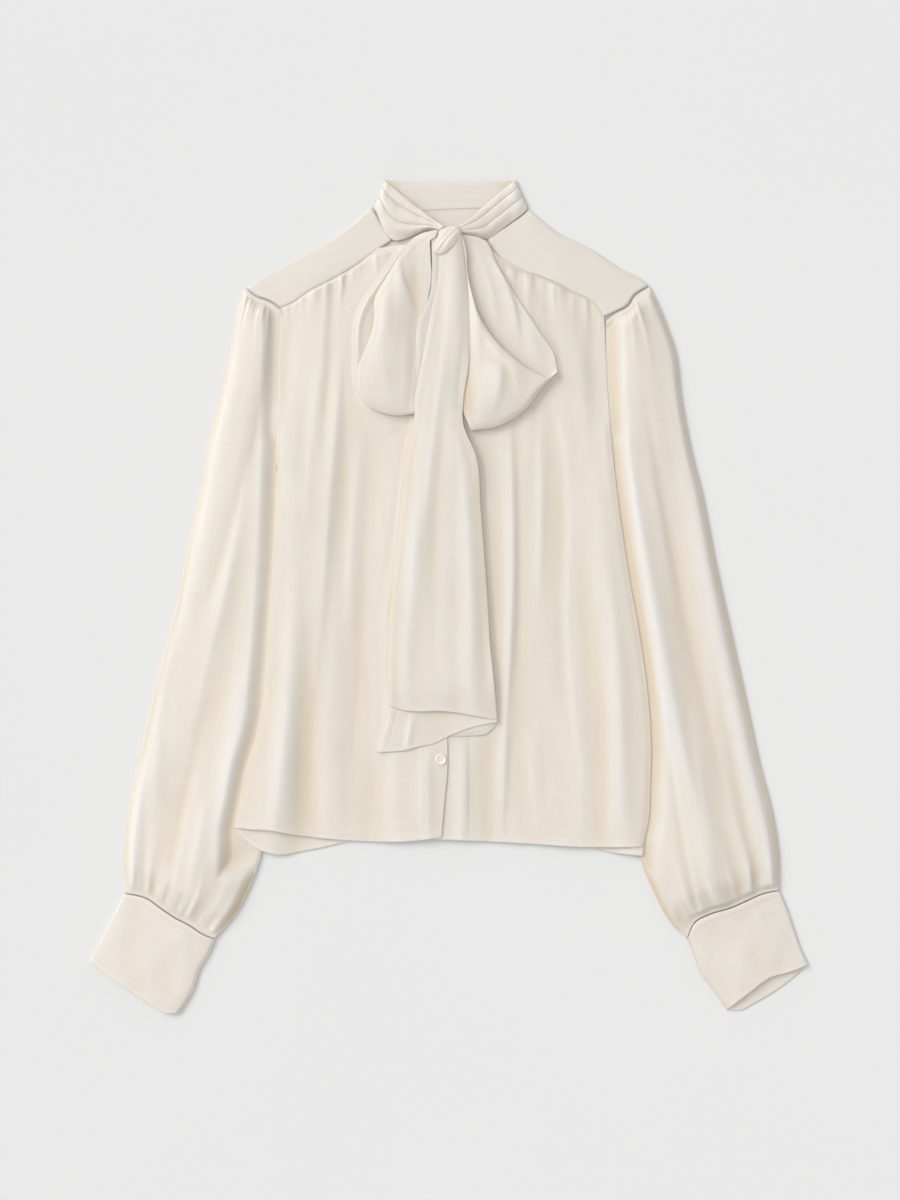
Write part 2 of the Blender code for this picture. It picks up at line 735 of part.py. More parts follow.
def yoke_points(shoulder, outer, seam, neck, back_corner, back_neck, columns):
    """One shoulder of the yoke as a strip of points: front seam, over the fold, down to the back seam."""
    wing = patch(shoulder, seam, outer, neck)
    back_outer = outer + ((back_corner[0], BACK_YOKE_SEAM_Y),)
    back_bottom = ((back_corner[0], BACK_YOKE_SEAM_Y), (back_neck, BACK_YOKE_SEAM_Y))
    back_inner = (shoulder[-1], (back_neck, BACK_YOKE_SEAM_Y))
    back = patch(shoulder, back_bottom, back_outer, back_inner)
    strip = []
    raised = HALF_WALL + TUBE_EDGE_RISE
    for share in (1.0, 0.78, 0.5, 0.25, 0.06):
        v = np.full(len(columns), share)
        plan = wing(columns, v)
        bump = np.sin(np.pi * columns) * math.sin(math.pi * share)
        strip.append(np.column_stack((plan, raised + YOKE_PUFF * bump)))
    fold = wing(columns, np.full(len(columns), 0.018))
    strip.append(np.column_stack((fold, np.full(len(columns), HALF_WALL + TUBE_EDGE_RISE / 2))))
    for share in (0.03, 0.35, 0.7, 1.0):
        plan = back(columns, np.full(len(columns), share))
        strip.append(np.column_stack((plan, np.full(len(columns), HALF_WALL))))
    return np.stack(strip, axis=1)


def build_yoke():
    """One yoke that comes over both shoulders, with a pointed corner at each front armhole."""
    columns = np.linspace(0.0, 1.0, 17)
    right = yoke_points(SHOULDER_RIGHT, YOKE_RIGHT_OUTER, YOKE_RIGHT_SEAM, YOKE_RIGHT_NECK,
                        (-160.0, 0.0), -56.0, columns)
    left = yoke_points(SHOULDER_LEFT, YOKE_LEFT_OUTER, YOKE_LEFT_SEAM, YOKE_LEFT_NECK,
                       (149.0, 0.0), 58.0, columns)
    bm = placed_grid(right)
    other = placed_grid(left)
    back_rows = 4
    side_a = right[-1, -back_rows:, :]
    side_b = left[-1, -back_rows:, :]
    shares = np.linspace(0.0, 1.0, 8)
    middle = np.zeros((len(shares), back_rows, 3))
    neck = (tuple(side_a[0, :2]),) + NECK_BACK[1:-1] + (tuple(side_b[0, :2]),)
    neck_line = read_curve(neck, shares)
    for i, share in enumerate(shares):
        for j in range(back_rows):
            down = j / (back_rows - 1)
            straight = side_a[j] * (1 - share) + side_b[j] * share
            dip = neck_line[i] - (side_a[0, :2] * (1 - share) + side_b[0, :2] * share)
            middle[i, j] = straight
            middle[i, j, :2] += dip * (1 - down)
    centre = placed_grid(middle)
    for piece in (other, centre):
        mesh = bpy.data.meshes.new("yoke_piece")
        piece.to_mesh(mesh)
        piece.free()
        bm.from_mesh(mesh)
        bpy.data.meshes.remove(mesh)
    bmesh.ops.remove_doubles(bm, verts=bm.verts, dist=0.01)
    bmesh.ops.recalc_face_normals(bm, faces=bm.faces[:])
    walled(finish_object("yoke", bm, IVORY))


# Stations along the neck band, from the knot over the right side, round the back and down the left.
# Columns: seam x, seam y, top x, top y, height of the wall's middle, pleat depth.
COLLAR_STATIONS = (
    (-10.7, 347.0, -6.8, 351.0, 12.3, 0.2),
    (-27.4, 345.6, -21.0, 362.0, 8.4, 0.6),
    (-41.5, 340.3, -35.0, 373.4, 6.2, 0.9),
    (-53.0, 338.9, -46.0, 382.6, 5.2, 0.9),
    (-61.0, 348.0, -54.0, 389.2, 5.0, 0.9),
    (-68.6, 366.0, -60.0, 394.0, 4.9, 0.8),
    (-71.6, 372.0, -62.0, 396.0, 2.8, 0.3),
    (-68.6, 371.4, -59.8, 395.6, HALF_WALL, 0.0),
    (-50.0, 368.0, -40.0, 395.0, HALF_WALL, 0.0),
    (-25.8, 368.6, -20.0, 394.4, HALF_WALL, 0.0),
    (0.0, 370.0, 0.0, 394.3, HALF_WALL, 0.0),
    (34.2, 371.6, 24.0, 394.6, HALF_WALL, 0.0),
    (55.0, 371.0, 44.0, 395.2, HALF_WALL, 0.0),
    (71.6, 369.8, 60.6, 395.8, HALF_WALL, 0.0),
    (75.0, 370.0, 63.2, 396.2, 2.8, 0.3),
    (72.0, 366.0, 60.8, 393.6, 4.9, 0.8),
    (60.0, 356.6, 50.0, 384.8, 5.0, 0.9),
    (48.0, 347.4, 39.0, 375.0, 5.1, 0.9),
    (38.0, 340.4, 28.0, 365.2, 5.6, 0.9),
    (24.0, 342.2, 17.5, 355.6, 8.4, 0.6),
    (12.2, 344.6, 8.6, 349.8, 12.3, 0.2),
)
COLLAR_PLEATS = 3


def build_collar():
    """Pleated neck band: one strip, folded over at both sides of the neck."""
    across = np.linspace(0.0, 1.0, 10)
    points = np.zeros((len(COLLAR_STATIONS), len(across), 3))
    for i, (seam_x, seam_y, top_x, top_y, z, pleat) in enumerate(COLLAR_STATIONS):
        for j, share in enumerate(across):
            step = (share * COLLAR_PLEATS) % 1.0 if share < 1.0 else 0.0
            x = seam_x * (1 - share) + top_x * share
            y = seam_y * (1 - share) + top_y * share
            points[i, j] = (x, y, z + pleat * (step - 0.33))
    walled(finish_object("collar", placed_grid(points), IVORY))


def build_knot():
    """The tied knot: a rounded body with the groove of the wrap across it."""
    bm = bmesh.new()
    bmesh.ops.create_uvsphere(bm, u_segments=20, v_segments=12, radius=1.0)
    for vert in bm.verts:
        direction = vert.co.normalized()
        boxy = sum(abs(value) ** 2.6 for value in direction) ** (-1.0 / 2.6)
        diagonal = 0.55 * direction.x - 0.83 * direction.y
        groove = KNOT_GROOVE * math.exp(-(((diagonal - 0.45) / 0.16) ** 2)) * max(direction.z, 0.0)
        for axis in range(3):
            vert.co[axis] = KNOT_CENTRE[axis] + direction[axis] * (KNOT_RADII[axis] * boxy - groove)
    bmesh.ops.recalc_face_normals(bm, faces=bm.faces[:])
    finish_object("knot", bm, IVORY)


# Edges of the bow in plan, from the knot outwards. Columns: x, y.
LOOP_RIGHT_NEAR_KNOT = ((-12.4, 344.4), (-11.2, 333.6))
LOOP_RIGHT_OUTSIDE = (
    (-12.4, 344.4),
    (-26.3, 341.6),
    (-48.5, 322.0),
    (-66.0, 292.0),
    (-72.0, 262.0),
    (-80.0, 233.0),
    (-87.2, 207.0),
    (-83.0, 189.0),
)
LOOP_RIGHT_INSIDE = ((-11.2, 333.6), (-19.0, 303.0), (-31.1, 265.4), (-33.6, 225.0), (-33.4, 173.0))
LOOP_RIGHT_BEND = ((-83.0, 189.0), (-77.0, 180.6), (-63.3, 173.9), (-47.5, 171.4), (-33.4, 173.0))
LOOP_LEFT_NEAR_KNOT = ((12.8, 342.2), (12.0, 333.2))
LOOP_LEFT_OUTSIDE = (
    (12.8, 342.2),
    (34.0, 336.4),
    (46.2, 314.5),
    (63.5, 286.0),
    (84.0, 254.6),
    (101.3, 226.1),
    (103.0, 213.0),
)
LOOP_LEFT_INSIDE = ((12.0, 333.2), (18.2, 301.0), (22.6, 250.0), (21.0, 215.0), (17.6, 185.0), (22.0, 157.0))
LOOP_LEFT_OPENING = (
    (12.8, 342.2),
    (25.0, 322.0),
    (31.5, 296.0),
    (44.0, 258.0),
    (62.0, 231.0),
    (80.0, 219.5),
    (96.5, 219.5),
    (103.0, 213.0),
)
LOOP_LEFT_BEND = ((103.0, 213.0), (90.3, 199.2), (71.3, 175.8), (47.8, 161.5), (22.0, 157.0))


def bow_loop(name, upper, lower, length):
    """A ribbon that leaves the knot, bends back on itself and returns above."""
    columns = np.linspace(0.0, 1.0, 9)
    lower_rows = np.linspace(0.0, 0.965, 9)
    points = []
    for share in lower_rows:
        plan = lower(columns, np.full(len(columns), share))
        rise = KNOT_CLIMB_LOWER * math.exp(-((share / KNOT_CLIMB_RUN) ** 2))
        points.append(np.column_stack((plan, np.full(len(columns), BOW_LOW_Z + rise))))
    bend = upper(columns, np.full(len(columns), 1.0 - HALF_WALL / length))
    points.append(np.column_stack((bend, np.full(len(columns), BOW_LOW_Z + LOOP_BEND))))
    for share in lower_rows[::-1]:
        plan = upper(columns, np.full(len(columns), share))
        swell = math.sin(math.pi * min(1.0, share / 0.965)) ** 0.6 if share < 0.96 else 0.0
        span = np.linalg.norm(plan[-1] - plan[0])
        wave = 0.8 * min(1.0, span / 45.0) * np.cos(2.5 * np.pi * columns + 4.0 * share)
        near_knot = KNOT_CLIMB_UPPER * math.exp(-((share / KNOT_CLIMB_RUN) ** 2))
        z = BOW_LOW_Z + 2.0 * LOOP_BEND + (LOOP_RISE + wave) * swell + near_knot
        points.append(np.column_stack((plan, z * np.ones(len(columns)))))
    return walled(finish_object(name, placed_grid(np.stack(points, axis=1)), IVORY))


# The two hanging ends. Columns: y, left x, right x.
TAIL_FRONT_ROWS = (
    (327.7, -6.4, 9.4),
    (301.6, -8.9, 16.2),
    (270.0, -15.0, 18.6),
    (238.6, -23.2, 20.0),
    (191.3, -31.2, 14.3),
    (165.3, -31.7, 13.3),
    (132.6, -39.9, 25.9),
    (82.7, -45.6, 30.4),
    (-4.8, -54.8, 36.9),
    (-52.7, -57.0, 39.9),
    (-74.6, -57.0, 42.3),
)
TAIL_FRONT_END = ((-56.5, -104.0), (-6.8, -108.3), (46.2, -117.0))
TAIL_BACK_ROWS = (
    (326.6, -4.0, 8.0),
    (238.6, -18.0, 15.0),
    (165.3, -27.0, 9.0),
    (82.7, -40.0, 26.0),
    (-4.8, -49.0, 33.0),
    (-74.6, -53.0, 40.0),
    (-109.0, -54.5, 45.0),
)
TAIL_BACK_END = (
    (-67.4, -147.4),
    (-40.9, -145.4),
    (-28.6, -142.2),
    (-1.9, -133.0),
    (20.0, -124.5),
    (45.6, -119.0),
)
TAIL_FRONT_FOLDS = (
    (1.0, 5.0, (4, 320), (-4, 230), (-22, 90)),
    (0.8, 6.0, (-12, 240), (-30, 100), (-40, -90)),
    (1.0, 6.0, (10, 200), (12, 60), (20, -100)),
)


def tail_drop(y):
    """The ends of the bow sink towards the fronts below the lowest covered button."""
    return TAIL_END_DROP * smooth_step((TAIL_DROP_START_Y - y) / (TAIL_DROP_START_Y - TAIL_DROP_END_Y))


def build_bow():
    """Knot, two loops and two hanging ends."""
    build_knot()
    right = patch(LOOP_RIGHT_NEAR_KNOT, LOOP_RIGHT_BEND, LOOP_RIGHT_OUTSIDE, LOOP_RIGHT_INSIDE)
    bow_loop("loop_right", right, right, 170.0)
    left_lower = patch(LOOP_LEFT_NEAR_KNOT, LOOP_LEFT_BEND, LOOP_LEFT_OUTSIDE, LOOP_LEFT_INSIDE)
    left_upper = patch(LOOP_LEFT_NEAR_KNOT, LOOP_LEFT_BEND, LOOP_LEFT_OPENING, LOOP_LEFT_INSIDE)
    bow_loop("loop_left", left_upper, left_lower, 170.0)

    tail_rows = np.concatenate((np.linspace(0.0, 0.8, 9), np.linspace(0.84, 1.0, 5)))
    rows = TAIL_FRONT_ROWS
    top = ((rows[0][1], rows[0][0]), (rows[0][2], rows[0][0]))
    left_edge = tuple((row[1], row[0]) for row in rows) + (TAIL_FRONT_END[0],)
    right_edge = tuple((row[2], row[0]) for row in rows) + (TAIL_FRONT_END[-1],)
    front = patch(top, TAIL_FRONT_END, left_edge, right_edge)

    def front_tail_height(x, y, u, v):
        near_knot = TAIL_CLIMB * np.exp(-((v / TAIL_CLIMB_RUN) ** 2))
        folds = fold_heights(x, y, TAIL_FRONT_FOLDS)
        return TAIL_FRONT_Z + near_knot + folds - tail_drop(y)

    columns = np.linspace(0.0, 1.0, 13)
    flat_panel("tail_front", front, front_tail_height, columns, tail_rows, IVORY)

    rows = TAIL_BACK_ROWS
    top = ((rows[0][1], rows[0][0]), (rows[0][2], rows[0][0]))
    left_edge = tuple((row[1], row[0]) for row in rows) + (TAIL_BACK_END[0],)
    right_edge = tuple((row[2], row[0]) for row in rows) + (TAIL_BACK_END[-1],)
    back = patch(top, TAIL_BACK_END, left_edge, right_edge)

    def back_tail_height(x, y, u, v):
        near_knot = TAIL_CLIMB * np.exp(-((v / TAIL_CLIMB_RUN) ** 2))
        return TAIL_BACK_Z + near_knot - tail_drop(y)

    columns = np.linspace(0.0, 1.0, 7)
    flat_panel("tail_back", back, back_tail_height, columns, tail_rows, IVORY)


def build_buttons():
    """Round, dished buttons down the centre front."""
    for i in range(BUTTON_COUNT):
        y = BUTTON_LOWEST_Y + i * BUTTON_SPACING
        seat = front_height(np.array(BUTTON_X), np.array(y)) + overlap_rise(np.array(BUTTON_X))
        low = float(seat) + HALF_WALL + 0.3
        bm = bmesh.new()
        profile = (
            (0.0, low),
            (BUTTON_RADIUS - 0.7, low),
            (BUTTON_RADIUS, low + 0.8),
            (BUTTON_RADIUS, low + BUTTON_HEIGHT - 0.6),
            (BUTTON_RADIUS - 0.6, low + BUTTON_HEIGHT),
            (BUTTON_DISH_RADIUS, low + BUTTON_HEIGHT - 0.1),
            (BUTTON_DISH_RADIUS - 0.8, low + BUTTON_HEIGHT - BUTTON_DISH_DEPTH),
            (0.0, low + BUTTON_HEIGHT - BUTTON_DISH_DEPTH),
        )
        verts = [bm.verts.new((BUTTON_X + radius, y, z)) for radius, z in profile]
        edges = [bm.edges.new((verts[k], verts[k + 1])) for k in range(len(verts) - 1)]
        bmesh.ops.spin(bm, geom=verts + edges, cent=(BUTTON_X, y, 0.0), axis=(0.0, 0.0, 1.0),
                       angle=math.tau, steps=BUTTON_SIDES, use_merge=True)
        bmesh.ops.remove_doubles(bm, verts=bm.verts, dist=0.001)
        bmesh.ops.recalc_face_normals(bm, faces=bm.faces[:])
        finish_object("button_%d" % (i + 1), bm, PEARL)


def main():
    for obj in list(bpy.data.objects):
        bpy.data.objects.remove(obj, do_unlink=True)
    build_body()
    build_sleeves_and_cuffs()
    build_yoke()
    build_collar()
    build_bow()
    build_buttons()


main()
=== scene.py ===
# %% [markdown]
# # Ivory bow blouse, laid flat
# A blouse is cut from flat panels, gathered, sewn edge to edge and then laid on a table. Blender can
# drape cloth by simulation, but a photographed blouse has been arranged by hand, fold by fold. So this
# lesson shapes each panel from its own cut outline and lays every fold where the stylist laid it.
# First comes the frame: the plain solids that give each piece its size and place.

# %% Load the frame
import json
import math

import bmesh
import bpy
import numpy as np
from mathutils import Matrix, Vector, noise

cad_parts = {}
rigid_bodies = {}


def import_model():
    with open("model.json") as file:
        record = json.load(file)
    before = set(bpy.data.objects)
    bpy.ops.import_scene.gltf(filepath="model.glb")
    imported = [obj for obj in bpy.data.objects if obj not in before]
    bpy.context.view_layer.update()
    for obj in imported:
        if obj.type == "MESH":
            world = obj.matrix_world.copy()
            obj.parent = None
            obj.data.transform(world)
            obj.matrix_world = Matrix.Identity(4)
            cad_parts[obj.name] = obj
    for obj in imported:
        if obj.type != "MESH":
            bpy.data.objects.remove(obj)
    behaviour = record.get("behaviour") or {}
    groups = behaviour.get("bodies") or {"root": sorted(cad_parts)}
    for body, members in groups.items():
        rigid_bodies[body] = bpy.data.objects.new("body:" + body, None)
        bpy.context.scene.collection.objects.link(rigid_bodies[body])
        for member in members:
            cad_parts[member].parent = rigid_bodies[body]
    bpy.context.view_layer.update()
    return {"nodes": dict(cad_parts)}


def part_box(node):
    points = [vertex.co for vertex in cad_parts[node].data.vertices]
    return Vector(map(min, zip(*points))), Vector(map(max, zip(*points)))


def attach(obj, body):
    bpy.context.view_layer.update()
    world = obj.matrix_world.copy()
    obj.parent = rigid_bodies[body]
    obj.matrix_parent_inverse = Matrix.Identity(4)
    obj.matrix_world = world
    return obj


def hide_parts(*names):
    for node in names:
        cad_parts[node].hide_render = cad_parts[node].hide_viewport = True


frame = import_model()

print("nodes in the frame:", len(frame["nodes"]))

# %% [markdown]
# Silk this fine is about a tenth of a millimetre thick. A mesh that thin would flicker where two layers
# touch, so the shell is half a millimetre, still far under the solids' walls. All measures below are in
# millimetres, as on a paper pattern, and are turned into metres once, when a mesh is made.

# %% Cloth measures
MM = 0.001
SHELL = 0.5
TABLE_LAYER = 0.6
TUBE_RISE = 2.4
HEM_WIDTH = 6.5
HEM_RISE = 0.3
STITCH_LINE = 5.2
SEAM_ALLOWANCE = 8.0
CORNER_COSINE = 0.55

# %% [markdown]
# A pattern edge is a few points with a smooth curve through them. The curve here is a Hermite spline
# whose slope at each point is the mean of the runs beside it. Where the edge turns sharply, such as at
# the corner of a cuff, the two runs keep their own slopes, so the corner stays a corner.

# %% Curves through pattern points
def smooth_step(value):
    """Ease from 0 to 1 as the value goes from 0 to 1."""
    t = np.clip(value, 0.0, 1.0)
    return t * t * (3.0 - 2.0 * t)


def blend(a, b, share):
    """Go from a to b."""
    return a * (1.0 - share) + b * share


def read_curve(points, share):
    """Read a smooth curve through the points at shares of its length, with its sharp corners kept."""
    pts = np.array(points, dtype=float)
    lengths = np.linalg.norm(np.diff(pts, axis=0), axis=1)
    knots = np.concatenate(([0.0], np.cumsum(lengths))) / lengths.sum()
    gaps = np.diff(knots)
    slopes = np.diff(pts, axis=0) / gaps[:, None]
    arriving = np.vstack((slopes[:1], slopes))
    leaving = np.vstack((slopes, slopes[-1:]))
    for i in range(1, len(pts) - 1):
        before, after = slopes[i - 1], slopes[i]
        cosine = before.dot(after) / (np.linalg.norm(before) * np.linalg.norm(after))
        if cosine > CORNER_COSINE:
            arriving[i] = leaving[i] = (before * gaps[i] + after * gaps[i - 1]) / (gaps[i - 1] + gaps[i])
    share = np.clip(np.asarray(share, dtype=float), 0.0, 1.0)
    index = np.clip(np.searchsorted(knots, share, side="right") - 1, 0, len(gaps) - 1)
    width = gaps[index]
    t = ((share - knots[index]) / width)[..., None]
    width = width[..., None]
    start = (2 * t ** 3 - 3 * t ** 2 + 1) * pts[index]
    start_slope = (t ** 3 - 2 * t ** 2 + t) * width * leaving[index]
    end = (3 * t ** 2 - 2 * t ** 3) * pts[index + 1]
    end_slope = (t ** 3 - t ** 2) * width * arriving[index + 1]
    return start + start_slope + end + end_slope


def shift(points, dx, dy):
    """Move an outline in plan."""
    return tuple((x + dx, y + dy) for x, y in points)


def side_x(points, y):
    """The x of a side edge at each height y."""
    rows = sorted(points, key=lambda point: point[1])
    return np.interp(y, [row[1] for row in rows], [row[0] for row in rows])


def edge_shares(length, step, fine=0.9, band=8.0, start=True, end=True):
    """Shares along an edge in steps of about a size, with finer ones near the ends that are sewn."""
    first = np.arange(0.0, band, fine) if start else np.array([0.0])
    last = length - (np.arange(0.0, band, fine)[::-1] if end else np.array([0.0]))
    count = max(2, round((last[0] - first[-1]) / step))
    middle = np.linspace(first[-1], last[0], count + 1)[1:-1]
    return np.concatenate((first, middle, last)) / length

# %% [markdown]
# ## The cut outlines
# Each edge of each panel is one short list of points in plan, read off the blouse as it lies. "Right"
# and "left" are the wearer's, so the right front is on the -X side. Panels that are sewn together share
# an edge, which is why the outlines come before the panels.

# %% Outlines of the body and yoke
BODY_RIGHT_SIDE = (
    (-159.6, 274.2), (-161.8, 187.0), (-163.4, 101.7), (-166.3, 35.2), (-172.0, -40.9),
    (-177.7, -109.3), (-182.5, -132.0), (-191.9, -160.6), (-202.4, -211.9), (-204.3, -219.0),
)
BODY_LEFT_SIDE = (
    (149.2, 263.2), (151.1, 187.2), (156.8, 120.7), (168.2, 35.2), (181.5, -40.9),
    (189.1, -97.9), (191.9, -145.4), (191.0, -177.7), (189.1, -213.8), (183.6, -236.8),
)
BODY_LEFT_SIDE_BACK = BODY_LEFT_SIDE[:-1] + ((183.4, -245.6),)
YOKE_RIGHT_SEAM = (
    (-159.3, 274.6), (-148.3, 279.3), (-132.5, 290.3), (-116.9, 298.3),
    (-99.5, 307.8), (-86.9, 315.6), (-71.3, 326.6), (-54.0, 338.7),
)
YOKE_LEFT_SEAM = (
    (147.3, 265.8), (141.6, 274.6), (131.3, 283.2), (118.3, 289.0), (102.2, 297.7),
    (83.3, 305.0), (67.4, 310.1), (48.5, 319.6), (37.0, 339.0),
)
FRONT_CORNER_RIGHT = (-52.0, 333.0)
FRONT_CORNER_LEFT = (36.0, 333.0)
UNDERLAP_X = -15.5
CENTRE_TOP_RIGHT = (-1.4, 329.0)
CENTRE_TOP_LEFT = (UNDERLAP_X, 329.0)
CENTRE_FRONT = (CENTRE_TOP_RIGHT, (-1.4, -134.9), (-1.0, -159.6), (-3.8, -191.9), (-7.2, -228.0))
UNDERLAP = (CENTRE_TOP_LEFT, (UNDERLAP_X, 60.0), (UNDERLAP_X, -230.0))
HEM_RIGHT_FRONT = (
    (-204.3, -219.0), (-188.5, -220.4), (-166.6, -221.8), (-149.2, -225.4),
    (-122.6, -229.0), (-94.0, -231.3), (-36.1, -231.8), (-7.2, -228.0),
)
HEM_LEFT_FRONT = (
    (UNDERLAP_X, -230.0), (42.3, -232.5), (74.1, -234.3), (132.0, -237.5), (153.9, -237.5), (183.6, -236.8),
)
HEM_BACK = (
    (-204.3, -219.0), (-184.3, -237.5), (-166.6, -244.2), (-130.2, -240.0), (-91.2, -231.8),
    (-40.0, -228.5), (40.0, -228.5), (110.0, -232.5), (153.9, -242.7), (183.4, -245.6),
)
BACK_YOKE_SEAM_Y = 261.0
SHOULDER_RIGHT = ((-192.5, 293.6), (-181.5, 300.2), (-142.0, 322.0), (-97.9, 348.7), (-73.4, 370.0))
SHOULDER_LEFT = (
    (189.5, 295.5), (183.7, 300.7), (164.8, 310.8), (135.7, 329.7), (99.4, 348.7), (77.0, 367.2),
)
YOKE_RIGHT_OUTER = ((-192.5, 293.6), (-181.5, 285.7), (-168.8, 280.9), (-159.3, 274.6))
YOKE_LEFT_OUTER = ((189.5, 295.5), (174.8, 286.1), (169.1, 277.4), (156.1, 270.1), (147.3, 265.8))
YOKE_RIGHT_NECK = ((-73.4, 370.0), (-61.0, 349.0), (-54.0, 338.7))
YOKE_LEFT_NECK = ((77.0, 367.2), (56.0, 352.0), (37.0, 339.0))
NECK_BACK = (
    (-72.8, 368.2), (-50.0, 366.4), (-25.8, 367.3), (0.0, 368.7), (34.2, 370.0), (55.0, 368.6), (76.4, 365.4),
)

# %% Outlines of the sleeves and cuffs
ARMPIT_RIGHT_Y = 149.0
ARMPIT_LEFT_Y = 150.0
SLEEVE_RIGHT_OUTER = (
    (-193.7, 292.4), (-200.5, 272.7), (-207.1, 233.7), (-215.7, 191.9), (-226.6, 151.1),
    (-236.6, 96.9), (-248.9, 40.9), (-259.4, -12.4), (-273.6, -64.6), (-287.9, -126.4),
    (-301.2, -185.3), (-307.3, -230.9), (-308.8, -259.4), (-307.9, -280.6),
)
SLEEVE_RIGHT_INNER = (
    (-161.4, 273.0), (-163.0, 187.0), (-163.7, 149.0), (-162.0, 118.0), (-157.0, 90.0),
    (-156.0, 40.0), (-157.0, -3.0), (-160.5, -98.0), (-168.0, -183.0), (-177.7, -240.4),
    (-182.4, -257.5), (-191.0, -279.3), (-201.4, -299.3), (-212.8, -313.4), (-221.8, -324.2),
)
SLEEVE_RIGHT_HEAD = ((-193.7, 292.4), (-182.5, 284.2), (-169.8, 279.3), (-161.4, 273.0))
CUFF_RIGHT_SEAM = (
    (-308.2, -281.6), (-287.6, -286.4), (-271.7, -297.4), (-260.9, -304.6),
    (-245.1, -313.0), (-234.3, -320.3), (-222.1, -325.2),
)
CUFF_RIGHT_OUTER = ((-308.2, -281.6), (-316.0, -297.0), (-330.0, -324.0), (-341.0, -345.8))
CUFF_RIGHT_INNER = ((-222.1, -325.2), (-229.3, -341.0), (-236.6, -353.0), (-242.7, -372.4), (-256.0, -394.8))
CUFF_RIGHT_MOUTH = ((-341.0, -345.8), (-313.0, -367.0), (-282.7, -386.9), (-268.2, -395.2), (-256.0, -394.8))
SLEEVE_LEFT_OUTER = (
    (190.7, 294.3), (196.7, 282.2), (208.1, 253.7), (214.7, 234.7), (220.4, 191.9),
    (229.9, 139.7), (240.4, 97.9), (252.6, 35.2), (263.0, -12.3), (275.3, -67.8),
    (285.6, -115.2), (295.9, -162.6), (306.2, -201.8), (313.4, -249.1), (313.2, -278.1),
)
SLEEVE_LEFT_INNER = (
    (151.4, 263.2), (152.4, 187.0), (155.4, 150.0), (155.8, 118.0), (153.5, 88.0), (158.0, 35.0),
    (166.0, -41.0), (170.0, -98.0), (172.0, -145.0), (175.0, -200.0), (181.5, -246.4),
    (188.8, -267.0), (197.2, -285.2), (204.4, -299.7), (216.0, -315.6), (226.0, -323.5),
)
SLEEVE_LEFT_HEAD = ((190.7, 294.3), (176.3, 284.5), (170.7, 275.7), (157.5, 268.4), (151.4, 263.2))
CUFF_LEFT_SEAM = (
    (313.5, -279.1), (296.6, -282.7), (284.4, -288.2), (266.3, -296.1),
    (249.3, -301.0), (233.5, -309.5), (226.3, -324.5),
)
CUFF_LEFT_OUTER = ((313.5, -279.1), (319.6, -293.6), (328.0, -317.9), (332.9, -332.4), (340.8, -349.0))
CUFF_LEFT_INNER = ((226.3, -324.5), (233.5, -342.1), (238.5, -356.6), (249.3, -371.3), (263.8, -391.8))
CUFF_LEFT_MOUTH = ((340.8, -349.0), (324.4, -355.5), (303.8, -361.6), (285.0, -375.5), (263.8, -391.8))
CUFF_LEFT_MOUTH_BACK = (
    (340.8, -349.0), (326.8, -361.6), (308.7, -374.9), (290.5, -385.7), (274.7, -393.0), (263.8, -391.8),
)

# %% Outlines of the bow
LOOP_RIGHT_NEAR_KNOT = ((-10.0, 347.0), (-12.0, 340.6))
LOOP_RIGHT_FRONT_EDGE = (
    (-10.0, 347.0), (-26.3, 343.0), (-46.0, 322.0), (-60.0, 300.0), (-70.5, 281.0), (-71.0, 262.0),
    (-74.0, 248.0), (-80.0, 233.0), (-86.6, 212.0), (-86.4, 198.0), (-83.0, 189.0),
)
LOOP_RIGHT_BACK_EDGE = (
    (-10.0, 347.0), (-26.3, 344.0), (-49.2, 323.0), (-64.0, 300.5), (-79.0, 278.5), (-85.0, 266.0),
    (-87.6, 250.0), (-88.0, 233.0), (-87.6, 212.0), (-86.4, 198.0), (-83.0, 189.0),
)
LOOP_RIGHT_INSIDE = (
    (-12.0, 340.6), (-17.4, 337.0), (-17.6, 327.0), (-16.4, 303.0), (-22.6, 265.4), (-26.4, 225.0), (-31.0, 173.2),
)
LOOP_RIGHT_BEND = ((-83.0, 189.0), (-77.0, 180.6), (-63.3, 173.9), (-47.5, 171.4), (-31.0, 173.2))
LOOP_LEFT_NEAR_KNOT = ((12.0, 343.2), (8.0, 334.0))
LOOP_LEFT_BACK_EDGE = (
    (12.0, 343.2), (34.0, 337.4), (46.2, 314.5), (63.5, 286.0), (84.0, 254.6), (101.3, 226.1), (103.0, 213.0),
)
LOOP_LEFT_INSIDE = (
    (8.0, 334.0), (5.0, 318.0), (7.0, 290.0), (9.0, 250.0), (9.0, 215.0), (10.0, 185.0), (21.0, 157.0),
)
LOOP_LEFT_OPENING = (
    (12.0, 343.2), (16.2, 327.0), (17.5, 307.5), (22.3, 284.6), (28.0, 266.7), (36.0, 253.0), (45.0, 241.0),
    (54.5, 231.4), (68.5, 220.0), (84.5, 210.5), (93.5, 207.2), (103.0, 213.0),
)
LOOP_LEFT_BEND = ((103.0, 213.0), (90.3, 199.2), (71.3, 175.8), (47.8, 161.5), (21.0, 157.0))

